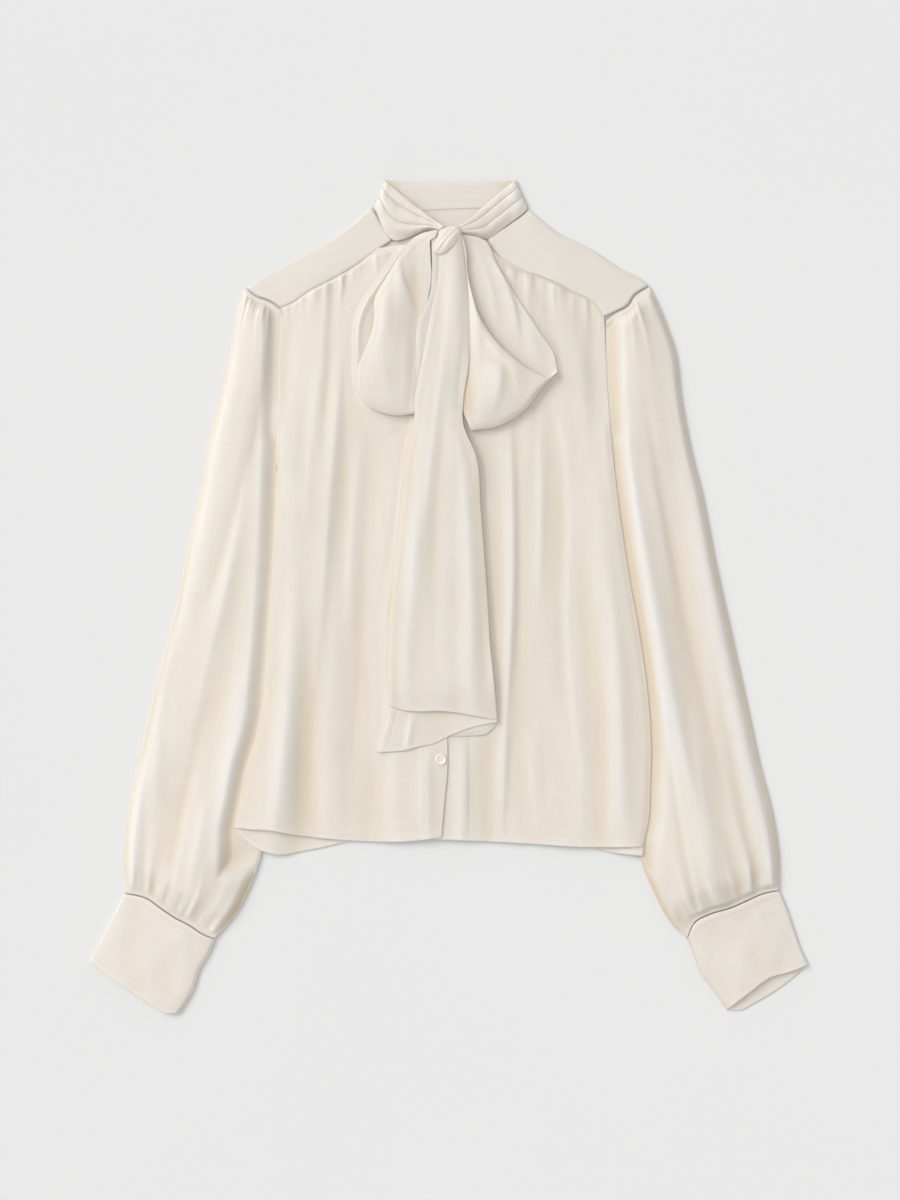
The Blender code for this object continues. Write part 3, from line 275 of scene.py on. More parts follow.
# Rows of the hanging ends. Columns: y, left x, right x.
TAIL_FRONT_ROWS = (
    (344.0, 2.0, 11.0), (338.0, -4.0, 12.0), (331.0, -8.4, 12.6), (316.0, -9.6, 15.0), (301.0, -10.4, 16.6), (274.8, -15.6, 19.6),
    (242.2, -21.8, 20.4), (215.0, -26.8, 18.4), (191.3, -31.6, 14.3), (165.3, -33.0, 13.3),
    (132.6, -39.9, 25.9), (82.7, -45.6, 30.4), (-4.8, -54.8, 36.9), (-52.7, -57.0, 39.9), (-74.6, -57.0, 42.3),
)
TAIL_FRONT_END = ((-56.5, -104.0), (-42.0, -107.6), (-29.0, -108.6), (-6.8, -108.3), (20.0, -112.0), (46.2, -117.0))
TAIL_BACK_ROWS = (
    (346.0, -16.6, 4.0), (333.0, -16.4, 6.0), (307.5, -16.0, 8.0), (284.6, -18.4, 12.0), (260.0, -29.0, 14.0), (225.8, -31.4, 14.0),
    (195.0, -33.0, 9.0), (165.3, -30.0, 9.0), (82.7, -40.0, 26.0), (-4.8, -49.0, 33.0),
    (-74.6, -53.0, 40.0), (-104.0, -55.5, 46.0),
)
TAIL_BACK_END = (
    (-67.4, -147.4), (-40.9, -145.4), (-28.6, -142.2), (-14.0, -139.4), (-1.9, -133.0), (20.0, -124.5), (46.4, -118.6),
)
TAIL_TURN_UPPER = ((-6.0, -131.0), (20.0, -121.0), (46.0, -114.0))
TAIL_TURN_LOWER = ((-2.0, -133.4), (18.0, -132.2), (36.9, -129.4), (45.4, -121.4))

# %% [markdown]
# Gathers and folds are also tables. A fold is a soft ridge, or a trough where its height is negative,
# along a line of three or more points. "Lean" makes one side steeper, as where cloth has rolled over:
# above zero the side to the right of the line's direction is the steep one.

# %% Folds and gathers
# Columns: height, half width, lean, points of the line.
FRONT_RIGHT_FOLDS = (
    (2.4, 7.5, 0.3, (-143, 270), (-155, 150), (-163, 30)),
    (2.7, 7.0, -0.3, (-94, 300), (-109, 150), (-122, -20), (-128, -90)),
    (1.5, 5.0, 0.0, (-122, 225), (-131, 145), (-137, 60)),
    (-1.6, 15.0, 0.0, (-76, 200), (-80, 0), (-72, -232)),
    (1.9, 9.0, 0.2, (-50, 160), (-58, -60), (-52, -234)),
    (1.8, 10.0, 0.2, (-104, 40), (-114, -110), (-120, -234)),
    (2.0, 9.0, 0.0, (-146, 10), (-157, -110), (-166, -224)),
    (1.1, 4.0, 0.4, (-66, 300), (-69, 240), (-72, 160)),
    (-1.0, 5.0, 0.0, (-108, 268), (-116, 190), (-121, 120)),
    (1.2, 5.0, 0.2, (-84, 150), (-92, 60), (-95, -40)),
    (-0.9, 6.0, 0.0, (-136, -40), (-141, -130), (-144, -226)),
    (0.9, 5.0, -0.3, (-178, -150), (-184, -190), (-190, -218)),
    (1.4, 6.0, 0.0, (-24, -150), (-26, -190), (-28, -231)),
)
FRONT_LEFT_FOLDS = (
    (3.2, 5.0, -0.45, (57, 175), (60, 90), (60, 0), (54, -120), (49, -234)),
    (-2.2, 7.0, 0.0, (26, 175), (33, 60), (40, -60), (43, -180)),
    (1.2, 3.5, 0.2, (86, 170), (87, 90), (85, 0)),
    (2.2, 7.0, 0.5, (103, 190), (115, 100), (113, -20), (119, -110), (130, -180)),
    (-1.5, 5.5, 0.0, (92, 292), (94, 250), (91, 190)),
    (1.7, 6.5, 0.2, (66, 302), (71, 240), (67, 180)),
    (2.0, 8.0, -0.2, (112, 286), (126, 210), (134, 100)),
    (1.5, 10.0, 0.2, (104, -90), (118, -160), (128, -238)),
    (1.5, 9.0, 0.0, (142, 100), (160, -60), (163, -232)),
    (-0.9, 7.0, 0.0, (140, 0), (146, -100), (148, -220)),
    (1.0, 5.0, 0.0, (14, -140), (12, -185), (10, -234)),
    (0.9, 6.0, 0.2, (76, -120), (80, -180), (84, -236)),
)
SLEEVE_RIGHT_FOLDS = (
    (-2.6, 6.5, 0.0, (-166, 232), (-175, 200), (-186, 144), (-198, 98), (-209, 56), (-234, -22)),
    (2.2, 7.0, -0.3, (-178, 215), (-192, 120), (-208, 30), (-240, -110)),
    (-2.2, 7.5, 0.0, (-219, -80), (-236, -136), (-249, -185), (-260, -235), (-268, -285)),
    (2.4, 6.0, 0.3, (-229, -185), (-238, -235), (-248, -288)),
    (2.2, 8.0, 0.0, (-288, -148), (-297, -200), (-301, -262)),
    (2.0, 10.0, 0.2, (-205, 230), (-226, 90), (-256, -60)),
    (1.6, 7.0, 0.0, (-196, -60), (-206, -150), (-214, -240)),
    (1.3, 6.0, -0.2, (-262, -30), (-274, -110), (-280, -200)),
    (-1.2, 5.0, 0.0, (-286, -180), (-288, -230), (-291, -275)),
)
SLEEVE_LEFT_FOLDS = (
    (2.4, 9.0, 0.2, (198, 282), (218, 170), (240, 50), (268, -90), (298, -250)),
    (2.2, 7.0, -0.3, (158, 200), (172, 110), (188, 30), (214, -110), (252, -268)),
    (-2.1, 7.0, 0.0, (178, 246), (192, 150), (208, 60), (234, -60), (262, -190)),
    (-1.5, 8.0, 0.0, (250, -60), (276, -180), (290, -275)),
    (1.3, 5.0, 0.0, (186, 150), (200, 70), (214, -10)),
    (1.4, 6.0, 0.2, (232, -120), (242, -190), (256, -262)),
    (1.2, 6.0, 0.0, (206, -180), (216, -240), (228, -296)),
)
SLEEVE_LEFT_STEP = ((148.6, 261.3), (161.1, 101.7), (184.7, -37.0), (209.4, -162.6), (224.0, -250.0), (236.0, -300.0))
TAIL_FRONT_FOLDS = (
    (1.6, 5.0, 0.3, (4, 326), (-2, 250), (-14, 150), (-24, 60)),
    (1.3, 7.0, 0.0, (-12, 240), (-28, 110), (-40, -90)),
    (1.6, 7.0, -0.3, (8, 250), (6, 190), (14, 110), (22, -100)),
    (-1.0, 5.0, 0.0, (-4, 200), (-10, 100), (-12, -60)),
    (1.0, 5.0, 0.0, (-30, 100), (-36, 20), (-44, -80)),
    (-0.9, 4.0, 0.0, (13, 240), (9, 190), (11, 150)),
)
LOOP_RIGHT_FOLDS = (
    (3.0, 8.0, -0.2, (-50, 318), (-60, 285), (-64, 254), (-71, 229), (-77, 205)),
    (-1.8, 6.0, 0.0, (-46, 262), (-46, 225), (-47, 190)),
    (2.2, 3.2, -0.8, (-47, 324), (-43.5, 301), (-36, 282), (-29, 262)),
    (1.6, 7.0, 0.0, (-62, 236), (-62, 212), (-56, 184)),
    (-1.0, 4.0, 0.0, (-30, 330), (-30, 305), (-30, 285)),
)
LOOP_RIGHT_INNER_FOLDS = (
    (1.8, 1.8, 0.4, (-44, 332), (-62, 304), (-79, 279), (-86, 260), (-87, 235)),
)
LOOP_LEFT_FOLDS = (
    (3.6, 8.0, -0.5, (49, 222), (46, 195), (38, 168)),
    (-1.8, 8.0, 0.0, (30, 262), (30, 215), (27, 175)),
    (1.6, 5.0, 0.4, (56, 226), (64, 205), (66, 186)),
    (1.3, 6.0, 0.0, (84, 208), (82, 196), (72, 182)),
    (1.4, 3.0, 0.0, (18, 300), (25, 268), (34, 248), (52, 226), (76, 210)),
)
LOOP_LEFT_INNER_FOLDS = (
    (1.8, 6.0, 0.3, (22, 336), (38, 300), (46, 258)),
    (2.4, 4.0, -0.6, (34, 328), (50, 304), (60, 280), (66, 244)),
    (-1.4, 5.0, 0.0, (30, 330), (44, 300), (53, 262)),
    (1.4, 6.0, 0.0, (72, 268), (80, 240), (84, 222)),
)

# Columns: count, height, reach from the seam.
GATHERS = {
    "front yoke": (14, 2.0, 22.0),
    "front pucker": (22, 1.2, 9.0),
    "front fall": (7, 1.0, 140.0),
    "sleeve head": (8, 2.4, 30.0),
    "sleeve cuff": (11, 3.2, 36.0),
    "sleeve fall": (6, 1.6, 110.0),
}
print("gathered seams:", ", ".join(GATHERS))

# %% [markdown]
# ## From four edges to a panel
# A Coons patch fills four edges with cloth: it mixes the top with the bottom and the left with the
# right, then takes away what the corners added twice. Every panel below is such a patch, so a change to
# an outline moves the cloth inside it as well.

# %% Coons patch
def patch(top, bottom, left, right):
    """Return a function that fills four edges with cloth: u runs along the top, v down the sides."""
    corner_tl = read_curve(top, 0.0)
    corner_tr = read_curve(top, 1.0)
    corner_bl = read_curve(bottom, 0.0)
    corner_br = read_curve(bottom, 1.0)

    def place(u, v):
        across = u[..., None]
        down = v[..., None]
        ruled = blend(read_curve(top, u), read_curve(bottom, u), down)
        sides = blend(read_curve(left, v), read_curve(right, v), across)
        corners = blend(blend(corner_tl, corner_tr, across), blend(corner_bl, corner_br, across), down)
        return ruled + sides - corners

    return place


# %% Heights of folds and gathers
def distance_to(x, y, points, pieces=16):
    """Signed distance in plan to a curve, positive on its right, and the share of its length there."""
    line = read_curve(points, np.linspace(0.0, 1.0, pieces + 1))
    best = np.full(np.shape(x), 1.0e9)
    where = np.zeros(np.shape(x))
    side = np.ones(np.shape(x))
    for i in range(pieces):
        ax, ay = line[i]
        dx, dy = line[i + 1] - line[i]
        t = np.clip(((x - ax) * dx + (y - ay) * dy) / (dx * dx + dy * dy), 0.0, 1.0)
        gap = np.hypot(x - ax - t * dx, y - ay - t * dy)
        nearer = gap < best
        best = np.where(nearer, gap, best)
        where = np.where(nearer, (i + t) / pieces, where)
        side = np.where(nearer, np.sign((y - ay) * dx - (x - ax) * dy), side)
    return best * -side, where


FOLD_BREADTH = 1.45


def fold_heights(x, y, folds):
    """Add up soft ridges and troughs, each fading out at both of its ends."""
    total = np.zeros(np.shape(x))
    for height, half_width, lean, *points in folds:
        gap, where = distance_to(x, y, points)
        fade = np.sin(np.pi * np.clip(where, 0.02, 0.98)) ** 0.6
        width = FOLD_BREADTH * half_width * (1.0 - lean * np.sign(gap))
        total = total + height * fade * np.exp(-np.abs(gap / width) ** 1.7)
    return total


def gather_heights(u, distance, kind, phase):
    """Uneven little ridges side by side along a seam, fading away from it."""
    count, height, reach = GATHERS[kind]
    distance = np.maximum(distance, 0.0)
    total = np.zeros(np.shape(u))
    for i in range(count):
        middle = (i + 0.5 + 0.26 * math.sin(2.4 * i + phase)) / count
        middle = middle + 0.10 / count * np.sin(distance / reach * 2.2 + i)
        rise = height * (0.72 + 0.32 * math.sin(1.7 * i + 2.0 * phase))
        run = reach * (0.75 + 0.45 * math.sin(2.9 * i + phase))
        width = 0.30 + 0.10 * np.clip(distance / reach, 0.0, 2.0)
        ridge = np.exp(-np.abs((u - middle) * count / width) ** 1.6)
        total = total + rise * ridge * np.exp(-((distance / run) ** 1.4))
    return total


def drift(x, y, across, along, seed, slant=0.0):
    """Slow uneven swell of soft cloth, from Blender's own noise, drawn out along its length."""
    flat_x = np.ravel(x + slant * y) / across
    flat_y = np.ravel(y) / along
    values = [noise.noise(Vector((a, b, seed))) for a, b in zip(flat_x, flat_y)]
    return np.array(values).reshape(np.shape(x))


def hem_rise(gap):
    """A turned hem: one more layer of cloth as wide as the hem, with its stitches pulled in."""
    turned = smooth_step((HEM_WIDTH - gap) / 1.0)
    pulled = np.exp(-(((gap - STITCH_LINE) / 0.9) ** 2))
    return HEM_RISE * (turned - 0.5 * pulled)


# %% [markdown]
# ## From a grid to a sheet of cloth
# Blender's grid operator makes the faces, and the script moves its points onto the panel. The sheet also
# gets a UV map that measures along the cloth in metres, so the weave follows the folds, and three values
# per point: how far the nearest stitched edge is, how doubled the cloth is, and how far the point lies below
# the cloth around it. The silk paints shade into the colour by that last value, and a highlight on crests.

# %% Make a sheet
VALLEY_REACH = 20.0


def measured_uv(points):
    """How far each point is along the cloth, across and down, in metres."""
    across = np.linalg.norm(np.diff(points, axis=0), axis=2)
    down = np.linalg.norm(np.diff(points, axis=1), axis=2)
    u = np.zeros(points.shape[:2])
    v = np.zeros(points.shape[:2])
    u[1:] = np.cumsum(across, axis=0)
    v[:, 1:] = np.cumsum(down, axis=1)
    return (u - u[-1:] / 2) * MM, v * MM


def box_blur(values, reach):
    """Mean over a window of 2 * reach + 1 samples along the first axis, shorter at the ends."""
    count = len(values)
    total = np.concatenate((np.zeros((1,) + values.shape[1:]), np.cumsum(values, axis=0)))
    first = np.clip(np.arange(count) - reach, 0, count)
    last = np.clip(np.arange(count) + reach + 1, 0, count)
    return (total[last] - total[first]) / (last - first)[:, None]


# The silk paints shade into the cloth by this depth, and a highlight where it is negative.
def valley_depth(points):
    """How far each point lies below the cloth around it, in millimetres."""
    step = max(np.median(np.linalg.norm(np.diff(points, axis=0), axis=2)), 0.2)
    z = points[..., 2]
    wide = box_blur(z, max(1, round(VALLEY_REACH / step)))
    narrow = box_blur(z, max(1, round(0.3 * VALLEY_REACH / step)))
    return np.clip(0.75 * (wide - z) + 0.2 * (narrow - z), -2.0, 2.0)


def placed_grid(points, hem, doubled):
    """A mesh whose grid corners are the given points, laid out as columns by rows."""
    columns, rows = points.shape[:2]
    bm = bmesh.new()
    bmesh.ops.create_grid(bm, x_segments=columns - 1, y_segments=rows - 1, size=0.5)
    mesh = bpy.data.meshes.new("sheet")
    bm.to_mesh(mesh)
    bm.free()
    corners = np.empty(len(mesh.vertices) * 3)
    mesh.vertices.foreach_get("co", corners)
    corners = corners.reshape(-1, 3)
    i = np.rint((corners[:, 0] + 0.5) * (columns - 1)).astype(int)
    j = np.rint((corners[:, 1] + 0.5) * (rows - 1)).astype(int)
    mesh.vertices.foreach_set("co", (points[i, j] * MM).ravel())
    # The third value is the fold depth that the silk turns into painted shade and painted highlight.
    for name, values in (("hem", hem), ("doubled", doubled), ("painted_fold_light", valley_depth(points))):
        layer = mesh.attributes.new(name, "FLOAT", "POINT")
        layer.data.foreach_set("value", np.broadcast_to(values, (columns, rows))[i, j].astype(float))
    u, v = measured_uv(points)
    loops = np.empty(len(mesh.loops), dtype=int)
    mesh.loops.foreach_get("vertex_index", loops)
    uv = np.column_stack((u[i, j][loops], v[i, j][loops]))
    mesh.uv_layers.new(name="cloth").data.foreach_set("uv", uv.ravel())
    return mesh


def cloth_object(name, meshes, material, shell=SHELL):
    """Join sheets where their points meet, point the faces outwards and give the wall its thickness."""
    bm = bmesh.new()
    for mesh in meshes:
        bm.from_mesh(mesh)
        bpy.data.meshes.remove(mesh)
    bmesh.ops.remove_doubles(bm, verts=bm.verts, dist=0.02 * MM)
    bmesh.ops.recalc_face_normals(bm, faces=bm.faces[:])
    mesh = bpy.data.meshes.new(name)
    bm.to_mesh(mesh)
    bm.free()
    mesh.materials.append(material)
    mesh.shade_smooth()
    obj = bpy.data.objects.new(name, mesh)
    bpy.context.scene.collection.objects.link(obj)
    modifier = obj.modifiers.new("wall", "SOLIDIFY")
    modifier.thickness = shell * MM
    modifier.offset = 0.0
    modifier.use_even_offset = False
    return obj


def sew_in(obj, nodes, flat):
    """Hang a cloth piece on the frame's root body and hide the solid parts it stands for. Its flat size is not used."""
    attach(obj, "root")
    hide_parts(*nodes)

# %% [markdown]
# ## The silk
# The cloth is a fine plain weave in ivory silk: warm where light has passed through several layers, paler
# where the cloth is doubled, with a soft sheen. Shade is also painted into its colour, a warm tan in the
# hollows of folds, with a highlight painted on their crests. Three shader groups do what all the pieces share. The
# weave makes the threads and their uneven thickness, the stitches make a row of sewing beside a hem, and
# the clouding keeps a large panel from being one flat colour.

# %% Shader groups
def new_group(name, inputs, outputs):
    """An empty shader group with named sockets."""
    group = bpy.data.node_groups.new(name, "ShaderNodeTree")
    for label, kind, value in inputs:
        socket = group.interface.new_socket(name=label, in_out="INPUT", socket_type=kind)
        if value is not None:
            socket.default_value = value
    for label, kind in outputs:
        group.interface.new_socket(name=label, in_out="OUTPUT", socket_type=kind)
    return group, group.nodes.new("NodeGroupInput"), group.nodes.new("NodeGroupOutput")


def math_node(tree, operation, a, b=None, clamp=False):
    """One Math node: numbers are set on it and sockets are linked to it."""
    node = tree.nodes.new("ShaderNodeMath")
    node.operation = operation
    node.use_clamp = clamp
    for index, value in enumerate((a, b)):
        if value is None:
            continue
        if isinstance(value, (int, float)):
            node.inputs[index].default_value = value
        else:
            tree.links.new(value, node.inputs[index])
    return node.outputs[0]


def streaks(tree, place, scale, detail=2.0):
    """Noise drawn out along one direction, from 0 to 1."""
    mapping = tree.nodes.new("ShaderNodeMapping")
    mapping.inputs["Scale"].default_value = scale
    tree.links.new(place, mapping.inputs["Vector"])
    texture = tree.nodes.new("ShaderNodeTexNoise")
    texture.inputs["Scale"].default_value = 1.0
    texture.inputs["Detail"].default_value = detail
    tree.links.new(mapping.outputs["Vector"], texture.inputs["Vector"])
    return texture.outputs["Fac"]


def make_weave_group(threads_per_metre=1800.0):
    """Plain weave: warp over weft in turn, with threads that are thicker in places."""
    group, given, result = new_group(
        "plain_weave",
        (("Place", "NodeSocketVector", None), ("Slub", "NodeSocketFloat", 0.5)),
        (("Tone", "NodeSocketFloat"), ("Height", "NodeSocketFloat")),
    )
    split = group.nodes.new("ShaderNodeSeparateXYZ")
    group.links.new(given.outputs["Place"], split.inputs[0])
    waves = []
    for axis in ("X", "Y"):
        turn = math_node(group, "MULTIPLY", split.outputs[axis], threads_per_metre * math.pi)
        waves.append(math_node(group, "SINE", turn))
    crossing = math_node(group, "MULTIPLY", waves[0], waves[1])
    threads = math_node(group, "MULTIPLY", crossing, 0.25)
    warp = streaks(group, given.outputs["Place"], (620.0, 26.0, 1.0))
    weft = streaks(group, given.outputs["Place"], (30.0, 560.0, 1.0))
    slubs = math_node(group, "ADD", warp, weft)
    slubs = math_node(group, "SUBTRACT", slubs, 1.0)
    slubs = math_node(group, "MULTIPLY", slubs, given.outputs["Slub"])
    tone = math_node(group, "ADD", slubs, 0.5)
    height = math_node(group, "ADD", slubs, threads)
    group.links.new(tone, result.inputs["Tone"])
    group.links.new(height, result.inputs["Height"])
    return group


def make_stitch_group():
    """A row of stitches along a line at a set distance from an edge."""
    group, given, result = new_group(
        "stitch_row",
        (
            ("Edge", "NodeSocketFloat", 0.0),
            ("Place", "NodeSocketVector", None),
            ("Line", "NodeSocketFloat", STITCH_LINE),
            ("Stitches", "NodeSocketFloat", 420.0),
        ),
        (("Mask", "NodeSocketFloat"), ("Height", "NodeSocketFloat")),
    )
    away = math_node(group, "SUBTRACT", given.outputs["Edge"], given.outputs["Line"])
    away = math_node(group, "ABSOLUTE", away)
    near = math_node(group, "SUBTRACT", 1.0, math_node(group, "MULTIPLY", away, 2.2), clamp=True)
    split = group.nodes.new("ShaderNodeSeparateXYZ")
    group.links.new(given.outputs["Place"], split.inputs[0])
    run = math_node(group, "ADD", split.outputs["X"], split.outputs["Y"])
    beat = math_node(group, "FRACT", math_node(group, "MULTIPLY", run, given.outputs["Stitches"]))
    thread = math_node(group, "LESS_THAN", beat, 0.72)
    mask = math_node(group, "MULTIPLY", near, thread)
    group.links.new(mask, result.inputs["Mask"])
    sunk = math_node(group, "SUBTRACT", mask, math_node(group, "MULTIPLY", near, 0.6))
    group.links.new(sunk, result.inputs["Height"])
    return group


def make_cloud_group():
    """Slow changes of tone over a whole panel."""
    group, given, result = new_group(
        "clouding",
        (("Place", "NodeSocketVector", None), ("Amount", "NodeSocketFloat", 0.5)),
        (("Tone", "NodeSocketFloat"),),
    )
    slow = streaks(group, given.outputs["Place"], (22.0, 9.0, 14.0), detail=3.0)
    centred = math_node(group, "SUBTRACT", slow, 0.5)
    group.links.new(math_node(group, "MULTIPLY", centred, given.outputs["Amount"]), result.inputs["Tone"])
    return group


WEAVE = make_weave_group()
STITCHES = make_stitch_group()
CLOUDS = make_cloud_group()
print("shader groups:", WEAVE.name, STITCHES.name, CLOUDS.name)

# %% [markdown]
# Each silk finish is one Principled shader. Its colour runs from a darker ivory to a lighter one by the
# weave's tone and the clouding, and goes paler where the cloth is doubled: at hems, seam allowances and
# in the pieces that are made of two layers. Shade is painted into the colour as a warm tan in the hollows
# of folds, and a highlight is painted as a paler ivory on their crests. Sheen gives the soft bloom that
# silk has at a slant.

# %% Silk material
def group_node(tree, group, links):
    """Put a shared group in a material and link or set its inputs."""
    node = tree.nodes.new("ShaderNodeGroup")
    node.node_tree = group
    for label, value in links.items():
        if isinstance(value, (int, float)):
            node.inputs[label].default_value = value
        else:
            tree.links.new(value, node.inputs[label])
    return node


def mix_colour(tree, factor, first, second):
    """Mix two colours, each a tuple or a socket, by a factor socket."""
    node = tree.nodes.new("ShaderNodeMix")
    node.data_type = "RGBA"
    tree.links.new(factor, node.inputs["Factor"])
    for socket, value in ((node.inputs[6], first), (node.inputs[7], second)):
        if isinstance(value, tuple):
            socket.default_value = (*value, 1.0)
        else:
            tree.links.new(value, socket)
    return node.outputs[2]


def attribute_value(tree, name):
    """A value painted on the sheet's points."""
    node = tree.nodes.new("ShaderNodeAttribute")
    node.attribute_name = name
    return node.outputs["Fac"]


def make_silk(name, single, doubled, roughness, sheen):
    """Ivory silk that is paler where it is doubled, with shade painted into the hollows of folds and a highlight
    painted on their crests.
    """
    material = bpy.data.materials.new(name)
    material.use_nodes = True
    tree = material.node_tree
    shader = tree.nodes["Principled BSDF"]
    uv = tree.nodes.new("ShaderNodeUVMap")
    uv.uv_map = "cloth"
    coordinates = tree.nodes.new("ShaderNodeTexCoord")
    weave = group_node(tree, WEAVE, {"Place": uv.outputs["UV"], "Slub": 0.62})
    clouds = group_node(tree, CLOUDS, {"Place": coordinates.outputs["Object"], "Amount": 0.7})
    stitches = group_node(tree, STITCHES, {"Edge": attribute_value(tree, "hem"), "Place": uv.outputs["UV"]})
    tone = math_node(tree, "ADD", weave.outputs["Tone"], clouds.outputs["Tone"], clamp=True)
    ivory = mix_colour(tree, tone, tuple(0.93 * value for value in single), tuple(1.07 * value for value in single))
    pale = mix_colour(tree, tone, tuple(0.95 * value for value in doubled), tuple(1.05 * value for value in doubled))
    plain = mix_colour(tree, attribute_value(tree, "doubled"), ivory, pale)
    # Painted shade and painted highlight: where the cloth lies below the cloth around it, its colour goes to a darker
    # warm tan, and where it stands above it, to a paler ivory.
    painted_fold_light = attribute_value(tree, "painted_fold_light")
    low = math_node(tree, "MULTIPLY", painted_fold_light, 0.42, clamp=True)
    crest_highlight_share = math_node(tree, "MULTIPLY", painted_fold_light, -0.30, clamp=True)
    cloth = mix_colour(tree, crest_highlight_share, mix_colour(tree, low, plain, SILK_PAINTED_SHADE), SILK_PAINTED_HIGHLIGHT)
    sewn = mix_colour(tree, stitches.outputs["Mask"], cloth, tuple(0.86 * value for value in doubled))
    tree.links.new(sewn, shader.inputs["Base Color"])
    rough = math_node(tree, "MULTIPLY", tone, -0.10)
    tree.links.new(math_node(tree, "ADD", rough, roughness + 0.05), shader.inputs["Roughness"])
    shader.inputs["Sheen Weight"].default_value = sheen
    shader.inputs["Sheen Roughness"].default_value = 0.35
    shader.inputs["Sheen Tint"].default_value = (1.0, 0.97, 0.92, 1.0)
    shader.inputs["IOR"].default_value = 1.45
    shader.inputs["Subsurface Weight"].default_value = 0.55
    shader.inputs["Subsurface Radius"].default_value = (1.0, 0.94, 0.87)
    shader.inputs["Subsurface Scale"].default_value = 0.0016
    height = math_node(tree, "ADD", weave.outputs["Height"], stitches.outputs["Height"])
    bump = tree.nodes.new("ShaderNodeBump")
    bump.inputs["Strength"].default_value = 0.28
    bump.inputs["Distance"].default_value = 0.12 * MM
    tree.links.new(height, bump.inputs["Height"])
    tree.links.new(bump.outputs["Normal"], shader.inputs["Normal"])
    return material


SILK_SINGLE = (0.745, 0.67, 0.58)
SILK_PALE = (0.728, 0.67, 0.602)
# The next two are painted light: a warm tan as painted shade in the hollows of folds, a paler ivory as painted
# highlight on crests.
SILK_PAINTED_SHADE = (0.68, 0.55, 0.405)
SILK_PAINTED_HIGHLIGHT = (0.81, 0.785, 0.75)
SILK = make_silk("ivory_silk", SILK_SINGLE, SILK_PALE, 0.46, 0.22)
SILK_DOUBLE = make_silk("ivory_silk_double", SILK_PALE, SILK_PALE, 0.44, 0.25)
print("silk finishes:", SILK.name, SILK_DOUBLE.name)

# %% [markdown]
# ## The body
# The back lies on the table. Where the body crosses the inner part of a sleeve it has to climb over it,
# so its height eases up towards both sides below the armholes. The fronts lie on the back, a little
# puffed, and come down to it along the side seams, where the two are sewn together.

# %% How the body lies
BODY_LIFT = 4.6
LIFT_START = 4.0
LIFT_RUN = 34.0
LIFT_TOP_Y = 212.0
LIFT_FULL_Y = 140.0
FRONT_OVER_BACK = 1.55
FRONT_PUFF = 2.1
PUFF_RUN = 40.0
SIDE_SEAM_RUN = 7.0
ARMHOLE_RISE = 0.6
ARMHOLE_LOW_Y = (ARMPIT_RIGHT_Y + ARMPIT_LEFT_Y) / 2 + 2.0
ARMHOLE_RUN = 22.0
FRONT_LENGTH = 545.0
YOKE_EDGE_Z = 3.5
SEAM_TUCK = 2.5
FOLD_GAIN = 1.0
BOW_CLEAR_Z = 7.4
BOW_CLEAR_LOW_Z = 6.3
BOW_REACH = 5.5
BOW_SWELL_REACH = 30.0
BOW_SWELL_GAP = 1.6


def body_lift(x, y):
    """How far the body is lifted where it lies over the inner part of a sleeve."""
    right = side_x(SLEEVE_RIGHT_INNER, y) + LIFT_START - x
    left = x - side_x(SLEEVE_LEFT_INNER, y) + LIFT_START
    over_sleeve = np.maximum(right, left) / LIFT_RUN + 1.0
    down_body = (LIFT_TOP_Y - y) / (LIFT_TOP_Y - LIFT_FULL_Y)
    return BODY_LIFT * smooth_step(over_sleeve) * smooth_step(down_body)


def side_gap(x, y):
    """Distance in from the nearer side edge of the body."""
    return np.minimum(x - side_x(BODY_RIGHT_SIDE, y), side_x(BODY_LEFT_SIDE_BACK, y) - x)


def back_height(x, y):
    """Middle of the back panel."""
    return TABLE_LAYER + body_lift(x, y)


def front_height(x, y):
    """Middle of a front, without its folds: down at the side seam, open to the sleeve above it."""
    gap = side_gap(x, y)
    inside = smooth_step(gap / PUFF_RUN)
    above_armpit = smooth_step((y - ARMHOLE_LOW_Y) / ARMHOLE_RUN)
    seam = blend(0.9 * smooth_step(1.0 - gap / SIDE_SEAM_RUN), 0.0, above_armpit)
    armhole = ARMHOLE_RISE * above_armpit * (1.0 - inside)
    return back_height(x, y) + FRONT_OVER_BACK + FRONT_PUFF * inside + armhole - seam


def overlap_rise(x):
    """The right front climbs onto the left front near the centre."""
    return 1.7 * smooth_step((x + 32.0) / 14.0)


def outline_reach(x, y, outline, reach):
    """1 inside a closed outline, easing to 0 at a distance outside it."""
    corners = np.array(outline + outline[:1])
    inside = np.zeros(np.shape(x), dtype=bool)
    for (ax, ay), (bx, by) in zip(corners, corners[1:]):
        if ay != by:
            crosses = (ay > y) != (by > y)
            inside ^= crosses & (x < (bx - ax) * (y - ay) / (by - ay) + ax)
    gap, share = distance_to(x, y, outline + outline[:1], pieces=70)
    return np.where(inside, 1.0, smooth_step(1.0 - np.abs(gap) / reach))


def tail_outline(rows, end):
    """The closed outline of a hanging end, from its rows and its lower edge."""
    left_side = tuple((row[1], row[0]) for row in rows)
    right_side = tuple((row[2], row[0]) for row in reversed(rows))
    return left_side + end + right_side


